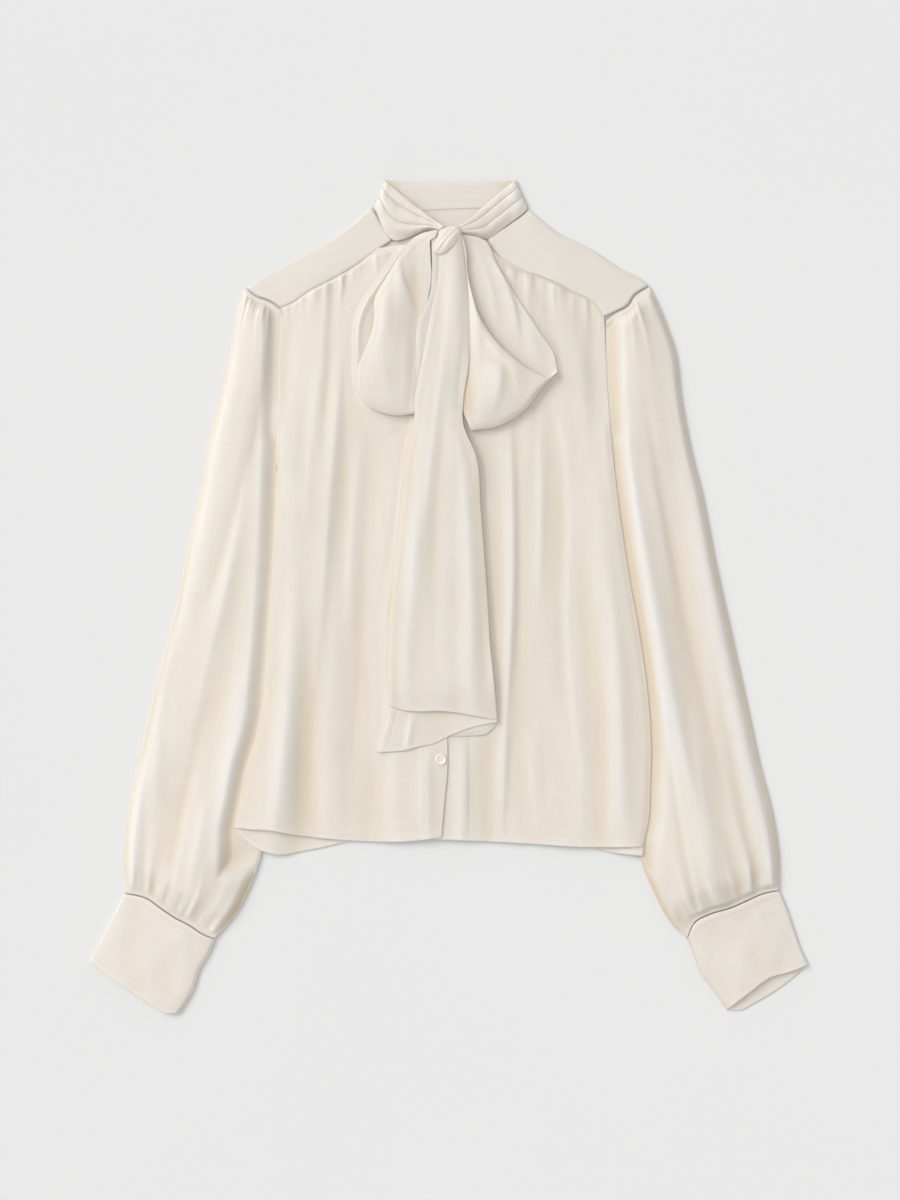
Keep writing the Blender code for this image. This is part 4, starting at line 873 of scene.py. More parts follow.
def settle_under_bow(x, y, z):
    """Let the fronts meet the bow and its ends from below, so that these lie on them."""
    shapes = (
        tail_outline(TAIL_BACK_ROWS, TAIL_BACK_END),
        tail_outline(TAIL_FRONT_ROWS, TAIL_FRONT_END),
        LOOP_RIGHT_BACK_EDGE + LOOP_RIGHT_BEND[1:] + tuple(reversed(LOOP_RIGHT_INSIDE)),
        LOOP_LEFT_BACK_EDGE + LOOP_LEFT_BEND[1:] + tuple(reversed(LOOP_LEFT_INSIDE)),
    )
    near = np.zeros(np.shape(x))
    around = np.zeros(np.shape(x))
    for outline in shapes:
        near = np.maximum(near, outline_reach(x, y, outline, BOW_REACH))
        around = np.maximum(around, outline_reach(x, y, outline, BOW_SWELL_REACH))
    low_down = smooth_step((60.0 - y) / 130.0)
    clear = blend(BOW_CLEAR_Z, BOW_CLEAR_LOW_Z, low_down)
    swollen = z + around * np.clip(clear - BOW_SWELL_GAP - z, 0.0, 3.0)
    return blend(swollen, np.clip(swollen, clear - 0.5, clear), near)


def front_cloth(x, y, u, v, folds, gather_u, calm, phase):
    """Height of a front with its folds, its gathers and its tuck under the yoke."""
    below = v * FRONT_LENGTH
    room = 0.12 + 0.88 * smooth_step(side_gap(x, y) / PUFF_RUN)
    raised = FOLD_GAIN * fold_heights(x, y, folds)
    raised = raised + gather_heights(gather_u, below, "front fall", phase + 1.3)
    raised = raised + 2.4 * drift(x, y, 44.0, 300.0, phase, slant=0.05) + 0.25 * drift(x, y, 12.0, 110.0, phase + 4.0)
    raised = np.maximum(raised, -0.85 * FRONT_PUFF) * calm * room
    puckers = gather_heights(gather_u, below - SEAM_TUCK, "front yoke", phase)
    puckers = puckers + gather_heights(gather_u, below - SEAM_TUCK, "front pucker", phase + 0.5)
    wave = 0.9 * drift(x, 0.0 * y, 30.0, 1.0, phase + 8.0) * smooth_step((below - 430.0) / 100.0) * room
    loose = front_height(x, y) + raised + wave + puckers * (0.25 + 0.75 * room)
    from_button = np.hypot(x + 7.7, y + 154.0)
    loose = np.minimum(loose, 5.75 + 0.16 * np.maximum(from_button - 6.5, 0.0) ** 1.15)
    tucked = smooth_step((below - SEAM_TUCK + 0.4) / 4.4)
    return blend(YOKE_EDGE_Z - 0.9 + 0.0 * loose, loose, tucked)


# %% Back panel
top = ((-160.4, BACK_YOKE_SEAM_Y - 0.8), (149.1, BACK_YOKE_SEAM_Y - 0.8))
back_place = patch(top, HEM_BACK, (top[0],) + BODY_RIGHT_SIDE[1:], (top[1],) + BODY_LEFT_SIDE_BACK[1:])
u, v = np.meshgrid(edge_shares(350.0, 4.0), edge_shares(495.0, 4.5), indexing="ij")
plan = back_place(u, v)
hem_gap = (1.0 - v) * 495.0
z = back_height(plan[..., 0], plan[..., 1]) + hem_rise(hem_gap)
side_allowance = smooth_step((SEAM_ALLOWANCE - side_gap(plan[..., 0], plan[..., 1])) / 0.8)
doubled = np.maximum(smooth_step((HEM_WIDTH - hem_gap) / 0.8), side_allowance)
back_panel = cloth_object("back_silk", [placed_grid(np.dstack((plan, z)), hem_gap, 0.8 * doubled)], SILK)
sew_in(back_panel, ["back_panel"], (0.392, 0.507))

# %% [markdown]
# The two fronts are gathered into the yoke. The right one laps over the left, and both end in a narrow
# turned hem. Near the centre the cloth is kept calm, because the buttons hold it flat there.

# %% Fronts
PLACKET_WIDTH = 24.0


def build_front(name, node, place, folds, centre_x, mirrored, rise, phase):
    """One front as a fine sheet with its gathers, folds, hem and placket."""
    u, v = np.meshgrid(edge_shares(205.0, 1.9, band=6.0), edge_shares(FRONT_LENGTH, 2.5, band=7.0), indexing="ij")
    plan = place(u, v)
    x, y = plan[..., 0], plan[..., 1]
    from_centre = np.abs(x - centre_x)
    calm = 0.15 + 0.85 * smooth_step((from_centre - 3.0) / 20.0)
    gather_u = ((1.0 - u) if mirrored else u) * 1.38
    hem_gap = (1.0 - v) * FRONT_LENGTH
    z = front_cloth(x, y, u, v, folds, gather_u, calm, phase) + rise(x) + hem_rise(hem_gap)
    placket = smooth_step((PLACKET_WIDTH - from_centre) / 1.5)
    z = settle_under_bow(x, y, z + 0.25 * placket)
    seam = np.minimum(side_gap(x, y), v * FRONT_LENGTH)
    allowance = smooth_step((SEAM_ALLOWANCE - seam) / 1.0)
    doubled = np.maximum(np.maximum(smooth_step((HEM_WIDTH - hem_gap) / 1.0), 0.75 * placket), 0.55 * allowance)
    stitched = np.minimum(hem_gap, np.abs(from_centre - PLACKET_WIDTH) + STITCH_LINE - 1.0)
    obj = cloth_object(name, [placed_grid(np.dstack((x, y, z)), stitched, doubled)], SILK)
    sew_in(obj, [node], (0.262, 0.575))
    return obj


top = shift(YOKE_RIGHT_SEAM[:-1], 0.0, SEAM_TUCK) + (FRONT_CORNER_RIGHT, CENTRE_TOP_RIGHT)
right_place = patch(top, HEM_RIGHT_FRONT, (top[0],) + BODY_RIGHT_SIDE[1:], CENTRE_FRONT)
front_right = build_front("front_right_silk", "front_right", right_place, FRONT_RIGHT_FOLDS, 0.0, False,
                          overlap_rise, 0.7)
top = (CENTRE_TOP_LEFT, FRONT_CORNER_LEFT) + tuple(reversed(shift(YOKE_LEFT_SEAM[:-1], 0.0, SEAM_TUCK)))
left_place = patch(top, HEM_LEFT_FRONT, UNDERLAP, (top[-1],) + BODY_LEFT_SIDE[1:])
front_left = build_front("front_left_silk", "front_left", left_place, FRONT_LEFT_FOLDS, -6.0, True,
                         lambda x: 0.0, 2.1)

# %% [markdown]
# ## Sleeves and cuffs
# A sleeve is one panel sewn into a tube and laid flat, so it has a lower layer, a rolled edge at each
# side and an upper layer. The ring of points below goes round that section once. Above the armpit the
# inner side stays open, because there the sleeve is sewn to the body.

# %% Tubes of cloth laid flat
ROLL_STEPS = 3
OPEN_REACH = 2.8
SLEEVE_PUFF = 4.2
CUFF_PUFF = 1.2
CUFF_TILT = 0.8
SLEEVE_LENGTH = 600.0
HEAD_TUCK = 2.2
WRIST_TUCK = 2.0
TUCKED_HEAD_Z = 3.5
TUCKED_WRIST_Z = 3.6
SLEEVE_TILT = 2.4


def ring_of_shares(upper_count, lower_count):
    """The section of a flat tube, as (layer, share) from the inner edge under and back over."""
    turn = np.linspace(0.0, 1.0, ROLL_STEPS + 1)
    ring = [("inner low", t) for t in turn[:-1]]
    ring += [("low", s) for s in np.linspace(1.0, 0.0, lower_count)]
    ring += [("outer", t) for t in np.linspace(-1.0, 1.0, 2 * ROLL_STEPS + 1)[1:-1]]
    ring += [("up", s) for s in np.linspace(0.0, 1.0, upper_count)]
    ring += [("inner up", t) for t in turn[:-1][::-1]]
    return ring


def tube_points(upper, lower, lower_height, rows, counts, open_above_y):
    """Points of a tube of cloth that lies flat: columns go round it, rows go down it."""
    ring = ring_of_shares(*counts)
    points = np.zeros((len(ring), len(rows), 3))
    ends = np.array([0.0, 1.0])
    for j, row in enumerate(rows):
        edge = upper(ends, np.full(2, row))
        span = np.linalg.norm(edge[1] - edge[0])
        bottom = lower_height(row)
        radius = (TABLE_LAYER + TUBE_RISE - bottom) / 2
        bend = radius / span
        is_open = edge[1][1] > open_above_y
        reach = 1.0 + OPEN_REACH / span
        shares, below, heights = [], [], []
        for layer, t in ring:
            low = layer in ("low", "inner low")
            if layer in ("low", "up"):
                far = (1.0 if low else reach) if is_open else 1.0 - bend
                share, z = bend + t * (far - bend), (bottom if low else None)
            elif layer == "outer":
                share, z = bend * (1.0 - math.cos(t * math.pi / 2)), bottom + radius * (1.0 + math.sin(t * math.pi / 2))
            elif is_open:
                share = (1.0 if low else reach) + (1.0 - t) * bend * 0.4
                z = bottom if low else None
            else:
                turn = (1.0 - t) * math.pi / 2
                share = 1.0 - bend * (1.0 - math.sin(turn))
                z = bottom + radius * (1.0 - math.cos(math.pi / 2 - turn) * (1 if low else -1))
            shares.append(share)
            below.append(low)
            heights.append(z)
        shares = np.array(shares)
        over = upper(np.clip(shares, 0.0, 1.0), np.full(len(ring), row))
        under = lower(np.clip(shares, 0.0, 1.0), np.full(len(ring), row))
        plan = np.where(np.array(below)[:, None], under, over)
        plan = plan + np.clip(shares - 1.0, 0.0, 1.0)[:, None] * (edge[1] - edge[0])
        points[:, j, :2] = plan
        points[:, j, 2] = [float("nan") if z is None else z for z in heights]
    return points


def raised_upper(points, ring, height):
    """Give the upper layer of a tube its heights, all at once."""
    up = np.array([layer == "up" for layer, share in ring])
    shares = np.array([share for layer, share in ring])[up][:, None]
    last = np.flatnonzero(up)[-1]
    x, y = points[up][..., 0], points[up][..., 1]
    points[up, :, 2] = height(x, y, shares * np.ones(x.shape))
    for j in np.flatnonzero(np.isnan(points[last + 1, :, 2])):
        points[last + 1:, j, 2] = points[last, j, 2]
    return points


# %% Sleeves
def left_sleeve_step(x, y):
    """The left sleeve's upper layer is folded up along a line beside the body."""
    return smooth_step((x - side_x(SLEEVE_LEFT_STEP, y) + 1.0) / 6.0)


ARMHOLE_BLEND = 20.0
UNDER_BODY_RISE = 1.45


def sleeve_room(x, y, side):
    """How free the upper layer is: held down under the body, free outside it and below its hem."""
    edge = side_x(BODY_RIGHT_SIDE if side < 0 else BODY_LEFT_SIDE_BACK, y)
    below_hem = smooth_step((-248.0 - y) / 20.0)
    return np.maximum(smooth_step((side * (x - edge) - 1.0) / 16.0), below_hem)


def sleeve_join(x, y, side, loose, armpit_y):
    """Bring the upper layer up to the front where it is sewn in, and under the body below that."""
    edge = side_x(BODY_RIGHT_SIDE if side < 0 else BODY_LEFT_SIDE_BACK, y)
    outside = side * (x - edge)
    sewn = smooth_step((y - armpit_y + 4.0) / 12.0)
    seam_z = front_height(edge, y) - 0.62
    meets = sewn * smooth_step(1.0 - outside / ARMHOLE_BLEND) ** 1.5
    below_hem = smooth_step((-230.0 - y) / 18.0)
    held = UNDER_BODY_RISE * np.exp(-((outside / 14.0) ** 2)) * (1.0 - sewn) * (1.0 - below_hem)
    return blend(loose + held, seam_z, meets)


def build_sleeve(name, node, side, head, wrist, outer, inner, folds, armpit_y, phase):
    """One full sleeve, gathered at its head and into its cuff."""
    place = patch(head, wrist, outer, inner)
    rows = edge_shares(SLEEVE_LENGTH, 2.7, fine=1.2, band=9.0)
    counts = (74, 22)
    ring = ring_of_shares(*counts)
    lower_height = lambda row: TABLE_LAYER + 0.7 * float(smooth_step((row - 0.975) / 0.02))
    points = tube_points(place, place, lower_height, rows, counts, armpit_y - 24.0)

    def height(x, y, u):
        v = rows[None, :] * np.ones(x.shape)
        round_top = np.sin(np.pi * np.clip(u, 0.001, 0.999)) ** 0.5
        ease = smooth_step(np.minimum(v / 0.025, (1.0 - v) / 0.05))
        balloon = 1.0 + 0.35 * np.exp(-(((v - 0.91) / 0.06) ** 2))
        raised = (SLEEVE_PUFF * round_top + SLEEVE_TILT * u * ease) * (0.1 + 0.9 * ease) * balloon
        raised = raised + FOLD_GAIN * fold_heights(x, y, folds)
        if side > 0:
            raised = raised + 2.2 * left_sleeve_step(x, y)
        below = v * SLEEVE_LENGTH - HEAD_TUCK
        above = (1.0 - v) * SLEEVE_LENGTH - WRIST_TUCK
        raised = raised + gather_heights(u, below, "sleeve head", phase) * (0.4 + 0.6 * smooth_step(below / 10.0))
        raised = raised + gather_heights(u, above, "sleeve cuff", phase + 0.7) * (0.3 + 0.7 * smooth_step(above / 16.0))
        raised = raised + gather_heights(u, above, "sleeve fall", phase + 2.0)
        slant = 0.18 * side
        raised = raised + 2.0 * drift(x, y, 34.0, 220.0, phase, slant) + 0.25 * drift(x, y, 12.0, 90.0, phase + 3.0, slant)
        raised = np.maximum(raised, -0.6)
        free = sleeve_room(x, y, side) * np.clip(3.0 * round_top - 0.3, 0.0, 1.0)
        loose = sleeve_join(x, y, side, TABLE_LAYER + TUBE_RISE + raised * free, armpit_y)
        from_head = smooth_step((below + 0.4) / 6.0)
        from_wrist = smooth_step((above + 0.4) / 7.0)
        return blend(TUCKED_WRIST_Z, blend(TUCKED_HEAD_Z, loose, from_head), from_wrist)

    points = raised_upper(points, ring, height)
    below = rows[None, :] * SLEEVE_LENGTH * np.ones(points.shape[:2])
    seam = np.minimum(below, SLEEVE_LENGTH - below)
    doubled = 0.5 * smooth_step((SEAM_ALLOWANCE - seam) / 1.0)
    obj = cloth_object(name, [placed_grid(points, 50.0, doubled)], SILK)
    sew_in(obj, [node], (0.315, 0.59))
    return obj


sleeve_right = build_sleeve(
    "sleeve_right_silk", "sleeve_right", -1, SLEEVE_RIGHT_HEAD, shift(CUFF_RIGHT_SEAM, 0.2, -1.0),
    SLEEVE_RIGHT_OUTER, SLEEVE_RIGHT_INNER, SLEEVE_RIGHT_FOLDS, ARMPIT_RIGHT_Y, 0.4,
)
sleeve_left = build_sleeve(
    "sleeve_left_silk", "sleeve_left", 1, SLEEVE_LEFT_HEAD, shift(CUFF_LEFT_SEAM, -0.2, -1.0),
    SLEEVE_LEFT_OUTER, SLEEVE_LEFT_INNER, SLEEVE_LEFT_FOLDS, ARMPIT_LEFT_Y, 1.9,
)

# %% [markdown]
# A cuff is two layers of silk with a stiffening between them, so it is smoother and paler than the sleeve.
# The sleeve's gathers run in under its upper edge.

# %% Cuffs
CUFF_LENGTH = 78.0


def build_cuff(name, node, upper, lower, phase):
    """One deep cuff, a smooth tube laid flat."""
    rows = edge_shares(CUFF_LENGTH, 1.8, fine=0.8, band=4.0)
    counts = (46, 24)
    ring = ring_of_shares(*counts)
    points = tube_points(upper, lower, lambda row: TABLE_LAYER, rows, counts, 1.0e6)

    def height(x, y, u):
        v = rows[None, :] * np.ones(x.shape)
        round_top = np.sin(np.pi * np.clip(u, 0.001, 0.999)) ** 0.5
        over_seam = -0.3 * np.exp(-((v * CUFF_LENGTH / 1.1) ** 2)) * round_top
        soft = 1.1 * drift(x, y, 24.0, 34.0, phase) * round_top * smooth_step(v * 5.0)
        edge = 0.3 * (hem_rise(v * CUFF_LENGTH) + hem_rise((1.0 - v) * CUFF_LENGTH)) / HEM_RISE
        return TABLE_LAYER + TUBE_RISE + (CUFF_PUFF + CUFF_TILT * u) * round_top + over_seam + soft + edge * round_top

    points = raised_upper(points, ring, height)
    gap = rows[None, :] * CUFF_LENGTH * np.ones(points.shape[:2])
    stitched = np.minimum(gap, CUFF_LENGTH - gap)
    obj = cloth_object(name, [placed_grid(points, stitched, 1.0)], SILK_DOUBLE, shell=0.7)
    sew_in(obj, [node], (0.205, 0.082))
    return obj


cuff_place = patch(CUFF_RIGHT_SEAM, CUFF_RIGHT_MOUTH, CUFF_RIGHT_OUTER, CUFF_RIGHT_INNER)
cuff_right = build_cuff("cuff_right_silk", "cuff_right", cuff_place, cuff_place, 5.0)
upper = patch(CUFF_LEFT_SEAM, CUFF_LEFT_MOUTH, CUFF_LEFT_OUTER, CUFF_LEFT_INNER)
lower = patch(CUFF_LEFT_SEAM, CUFF_LEFT_MOUTH_BACK, CUFF_LEFT_OUTER, CUFF_LEFT_INNER)
cuff_left = build_cuff("cuff_left_silk", "cuff_left", upper, lower, 6.0)

# %% [markdown]
# ## The yoke
# One piece comes forward over both shoulders and ends in a point at each armhole. It is made as three
# strips whose edges share their points: a shoulder on each side, folded over at its top, and the back
# between them. The front edge lies over the gathers, so the seam shows as a clean line.

# %% Yoke
def yoke_strip(shoulder, outer, seam, neck, back_corner_x, back_neck_x, columns):
    """One shoulder: front seam, over the fold, down to the back seam. Rows run that way."""
    wing = patch(shoulder, seam, outer, neck)
    back_corner = (back_corner_x, BACK_YOKE_SEAM_Y)
    back_neck = (back_neck_x, BACK_YOKE_SEAM_Y)
    back = patch(shoulder, (back_corner, back_neck), outer + (back_corner,), (shoulder[-1], back_neck))
    front_z = TABLE_LAYER + TUBE_RISE
    radius = TUBE_RISE / 2
    strip = []
    for share in np.concatenate((np.linspace(1.0, 0.93, 4), np.linspace(0.9, 0.06, 20))):
        plan = wing(columns, np.full(len(columns), share))
        bump = np.sin(np.pi * columns) ** 0.7 * math.sin(math.pi * share) ** 0.8
        soft = drift(plan[:, 0], plan[:, 1], 38.0, 30.0, back_corner_x)
        depth = np.linalg.norm(wing(columns, np.ones(len(columns))) - wing(columns, np.zeros(len(columns))), axis=1)
        edge = (YOKE_EDGE_Z - front_z) * float(smooth_step((share - 0.45) / 0.5))
        side = YOKE_SIDE_RISE * np.exp(-((columns * 160.0 / 9.0) ** 2))
        turned = 0.5 * np.exp(-(((1.0 - share) * depth / 1.2) ** 2))
        strip.append(np.column_stack((plan, front_z + 1.1 * bump + 0.5 * soft * bump + np.maximum(edge, side) - turned)))
    for turn in (0.75, 0.5, 0.25, 0.0, -0.3, -0.6):
        roll = 0.03 * (1.0 - math.cos(turn * math.pi / 2))
        plan = wing(columns, np.full(len(columns), 0.006 + roll))
        z = front_z - radius + radius * math.sin(turn * math.pi / 2)
        strip.append(np.column_stack((plan, np.full(len(columns), z))))
    for share in np.linspace(0.03, 1.0, 16):
        plan = back(columns, np.full(len(columns), share))
        strip.append(np.column_stack((plan, np.full(len(columns), TABLE_LAYER))))
    return np.stack(strip, axis=1)


YOKE_SIDE_RISE = 0.5
BACK_ROWS = 16
columns = np.linspace(0.0, 1.0, 56)
right_strip = yoke_strip(SHOULDER_RIGHT, YOKE_RIGHT_OUTER, YOKE_RIGHT_SEAM, YOKE_RIGHT_NECK, -160.0, -56.0, columns)
left_strip = yoke_strip(SHOULDER_LEFT, YOKE_LEFT_OUTER, YOKE_LEFT_SEAM, YOKE_LEFT_NECK, 149.0, 58.0, columns)
side_a = right_strip[-1, -BACK_ROWS:, :]
side_b = left_strip[-1, -BACK_ROWS:, :]
shares = np.linspace(0.0, 1.0, 48)[:, None, None]
down = np.linspace(0.0, 1.0, BACK_ROWS)[None, :, None]
neck_line = read_curve((tuple(side_a[0, :2]),) + NECK_BACK[1:-1] + (tuple(side_b[0, :2]),), shares[:, 0, 0])
middle = blend(side_a[None], side_b[None], shares)
dip = neck_line - blend(side_a[0, :2], side_b[0, :2], shares[:, 0])
middle[..., :2] += dip[:, None, :] * (1.0 - down)
sheets = []
for strip, rows_gap in ((right_strip, True), (left_strip, True), (middle, False)):
    from_seam = np.linalg.norm(strip - strip[:, :1, :], axis=2) if rows_gap else np.full(strip.shape[:2], 50.0)
    sheets.append(placed_grid(strip, from_seam + STITCH_LINE - 1.6, 1.0))
yoke = cloth_object("yoke_silk", sheets, SILK_DOUBLE)
sew_in(yoke, ["yoke"], (0.43, 0.19))

# %% [markdown]
# ## The neck band
# The band is one long strip on the bias, laid in three pleats. It leaves the knot, turns over at the side
# of the neck, runs round the back and comes forward again. The table holds where its seam edge and its
# top edge are at each station, and the pleats are steps across the strip.

# %% Neck band
# Columns: seam x, seam y, top x, top y, height, pleat depth.
BAND_STATIONS = (
    (-9.0, 346.0, -5.0, 350.4, 12.6, 0.5),
    (-16.0, 347.6, -11.0, 354.6, 10.6, 0.9),
    (-27.4, 345.2, -21.0, 362.4, 8.8, 1.3),
    (-41.5, 339.6, -34.0, 373.0, 7.0, 1.6),
    (-53.0, 338.6, -46.0, 382.8, 6.2, 1.5),
    (-61.0, 347.0, -54.0, 389.4, 5.8, 1.3),
    (-69.0, 366.0, -60.4, 394.4, 5.0, 1.0),
    (-71.6, 371.6, -61.8, 396.0, 2.8, 0.3),
    (-68.6, 369.4, -59.8, 395.6, 1.0, 0.0),
    (-50.0, 366.4, -40.0, 395.0, 1.0, 0.0),
    (-25.8, 367.2, -20.0, 394.4, 1.0, 0.0),
    (0.0, 368.4, 0.0, 394.3, 1.0, 0.0),
    (34.2, 369.6, 24.0, 394.6, 1.0, 0.0),
    (55.0, 368.8, 44.0, 395.2, 1.0, 0.0),
    (71.6, 367.4, 60.6, 395.8, 1.0, 0.0),
    (75.0, 370.0, 63.2, 396.2, 2.8, 0.3),
    (72.4, 366.0, 61.2, 394.0, 5.0, 1.0),
    (60.0, 356.2, 50.2, 385.0, 5.8, 1.3),
    (48.0, 347.0, 39.2, 375.4, 6.4, 1.5),
    (38.0, 340.0, 28.4, 366.4, 7.2, 1.5),
    (24.0, 341.6, 17.8, 356.6, 9.4, 1.1),
    (11.4, 343.8, 8.0, 350.2, 12.6, 0.5),
)
BAND_PLEATS = 3


def pleat_height(share):
    """Soft rolls side by side, with a narrow groove between them."""
    phase = np.clip((share * BAND_PLEATS) % 1.0, 0.0, 1.0)
    roll = np.sin(np.pi * phase) ** 0.45
    return np.where((share <= 0.0) | (share >= 1.0), 0.15, roll) - 0.35


shares = np.linspace(0.0, 1.0, 190)
stations = read_curve(BAND_STATIONS, shares)
across = np.unique(np.concatenate([
    np.linspace(0.0, 1.0, 40),
    *[np.array([k / BAND_PLEATS + d for d in (-0.004, 0.004, 0.012, 0.02, 0.03)]) for k in range(BAND_PLEATS)],
]).clip(0.0, 1.0))
seam, top, lie, depth = stations[:, None, 0:2], stations[:, None, 2:4], stations[:, None, 4], stations[:, None, 5]
band = np.zeros((len(shares), len(across), 3))
bowed = across[None, :] + 0.10 * np.sin(np.pi * across[None, :]) * smooth_step(depth / 1.0)
band[..., :2] = blend(seam, top, bowed[..., None])
ripple = 0.7 * drift(band[..., 0], band[..., 1], 9.0, 9.0, 3.3) * smooth_step(depth / 1.2)
rolled = np.clip(lie - 4.0, 0.0, 3.4) * 0.95 * np.exp(-((across / 0.15) ** 2))[None, :]
band[..., 2] = np.maximum(lie + depth * pleat_height(across)[None, :] + ripple - rolled, 0.7)
from_seam = across[None, :] * np.linalg.norm(stations[:, 2:4] - stations[:, 0:2], axis=1)[:, None]
back_part = depth < 0.2
stitched = np.where(back_part, np.minimum(np.abs(from_seam - 8.0), np.abs(from_seam - 20.0)) + STITCH_LINE, 50.0)
collar = cloth_object("neck_band_silk", [placed_grid(band, stitched, 1.0)], SILK_DOUBLE)
sew_in(collar, ["collar"], (0.38, 0.045))

# %% [markdown]
# ## The bow
# The bow is tied from the band's two long ends. A loop leaves the knot, bends back on itself and returns
# above, so it is one sheet with a lower layer, a soft bend and an upper layer. The left loop gapes: its
# upper layer is narrower than the lower one, and the inside shows.

# %% Loops
BOW_LOW_Z = 8.2
LOOP_ROWS_LOWER = 44
LOOP_ROWS_UPPER = 84


def bow_loop(name, node, upper, lower, shape):
    """A ribbon that leaves the knot, bends back on itself and returns above."""
    columns = np.linspace(0.0, 1.0, 56)
    points = []
    top_z = BOW_LOW_Z + 2.0 * shape["bend"]
    for share in np.linspace(0.0, 0.975, LOOP_ROWS_LOWER):
        plan = lower(columns, np.full(len(columns), share))
        climb = 2.4 * math.exp(-((share / 0.12) ** 2))
        folds = fold_heights(plan[:, 0], plan[:, 1], shape["low folds"])
        held = smooth_step((0.93 - share) / 0.1)
        z = BOW_LOW_Z + climb + np.maximum(folds, -0.6) * held * smooth_step(share / 0.15)
        points.append(np.column_stack((plan, z * np.ones(len(columns)))))
    for turn in (-0.62, -0.3, 0.0, 0.3, 0.62):
        reach = 0.988 + 0.012 * math.cos(turn * math.pi / 2)
        source = lower if turn < -0.45 else upper
        plan = source(columns, np.full(len(columns), reach))
        z = BOW_LOW_Z + shape["bend"] * (1.0 + math.sin(turn * math.pi / 2))
        points.append(np.column_stack((plan, np.full(len(columns), z))))
    for share in np.linspace(0.975, 0.0, LOOP_ROWS_UPPER):
        plan = upper(columns, np.full(len(columns), share))
        x, y = plan[:, 0], plan[:, 1]
        swell = math.sin(math.pi * min(1.0, share / 0.975)) ** 0.55 if share < 0.974 else 0.0
        room = min(1.0, np.linalg.norm(plan[-1] - plan[0]) / 45.0)
        body = shape["rise"] * (0.55 + 0.45 * np.sin(np.pi * np.clip(columns, 0.0, 1.0)) ** 0.7)
        folds = fold_heights(x, y, shape["folds"]) + 1.2 * drift(x, y, 17.0, 44.0, shape["seed"])
        under_tail = shape["under tail"](x)
        near_knot = 2.8 * math.exp(-((share / 0.10) ** 2))
        z = top_z + (body + folds * (0.3 + 0.7 * room)) * swell * under_tail + near_knot
        points.append(np.column_stack((plan, z)))
    strip = np.stack(points, axis=1)
    edge = np.minimum(columns, 1.0 - columns)[:, None] * np.linalg.norm(strip[-1] - strip[0], axis=1)[None, :]
    strip[..., 2] += hem_rise(edge)
    doubled = 0.55 + 0.45 * smooth_step((HEM_WIDTH - edge) / 0.8)
    obj = cloth_object(name, [placed_grid(strip, edge, doubled)], SILK)
    sew_in(obj, [node], shape["flat"])
    return obj


right_lower = patch(LOOP_RIGHT_NEAR_KNOT, LOOP_RIGHT_BEND, LOOP_RIGHT_BACK_EDGE, LOOP_RIGHT_INSIDE)
right_upper = patch(LOOP_RIGHT_NEAR_KNOT, LOOP_RIGHT_BEND, LOOP_RIGHT_FRONT_EDGE, LOOP_RIGHT_INSIDE)
loop_right = bow_loop("loop_right_silk", "loop_right", right_upper, right_lower, {
    "flat": (0.092, 0.35), "bend": 2.2, "rise": 5.0, "seed": 2.2, "folds": LOOP_RIGHT_FOLDS,
    "low folds": LOOP_RIGHT_INNER_FOLDS,
    "under tail": lambda x: 1.0 - 0.86 * smooth_step((x + 50.0) / 22.0),
})
left_lower = patch(LOOP_LEFT_NEAR_KNOT, LOOP_LEFT_BEND, LOOP_LEFT_BACK_EDGE, LOOP_LEFT_INSIDE)
left_upper = patch(LOOP_LEFT_NEAR_KNOT, LOOP_LEFT_BEND, LOOP_LEFT_OPENING, LOOP_LEFT_INSIDE)
loop_left = bow_loop("loop_left_silk", "loop_left", left_upper, left_lower, {
    "flat": (0.102, 0.36), "bend": 2.6, "rise": 5.6, "seed": 7.4, "folds": LOOP_LEFT_FOLDS, "low folds": LOOP_LEFT_INNER_FOLDS,
    "under tail": lambda x: smooth_step((x - 14.0) / 16.0),
})

# %% [markdown]
# The hanging ends are long strips that widen from the knot. The front one lies over the back one, whose
# lower end shows below it: a slanting edge, a bright sliver where a fold stands up, and a small turn of
# the edge beside the centre front.

# %% Hanging ends
TAIL_FRONT_Z = 14.6
TAIL_BACK_Z = 12.4
TAIL_LENGTH = 440.0
TAIL_SLIVER = (1.7, 2.2, 0.6, (-36, -112), (-39, -128), (-41, -146))


def tail_drop(y):
    """The ends sink from the height of the knot to the fronts below the loops."""
    return 2.7 * smooth_step((165.0 - y) / 130.0) + 2.3 * smooth_step((-84.0 - y) / 34.0)


def build_tail(name, node, rows, end, height, flat, counts):
    """One hanging end as a fine strip with a turned hem on three sides."""
    top = ((rows[0][1], rows[0][0]), (rows[0][2], rows[0][0]))
    left_edge = tuple((row[1], row[0]) for row in rows) + (end[0],)
    right_edge = tuple((row[2], row[0]) for row in rows) + (end[-1],)
    place = patch(top, end, left_edge, right_edge)
    across = edge_shares(90.0, 90.0 / counts[0], fine=1.1, band=7.7)
    down = edge_shares(TAIL_LENGTH, TAIL_LENGTH / counts[1], fine=0.9, band=8.1, start=False)
    u, v = np.meshgrid(across, down, indexing="ij")
    plan = place(u, v)
    width = np.linalg.norm(plan[-1] - plan[0], axis=1)[None, :]
    gap = np.minimum(np.minimum(u, 1.0 - u) * width, (1.0 - v) * TAIL_LENGTH)
    z = height(plan[..., 0], plan[..., 1], u, v) + hem_rise(gap) * smooth_step((width - 24.0) / 20.0)
    doubled = 0.6 + 0.4 * smooth_step((HEM_WIDTH - gap) / 0.8)
    obj = cloth_object(name, [placed_grid(np.dstack((plan, z)), gap, doubled)], SILK)
    sew_in(obj, [node], flat)
    return obj


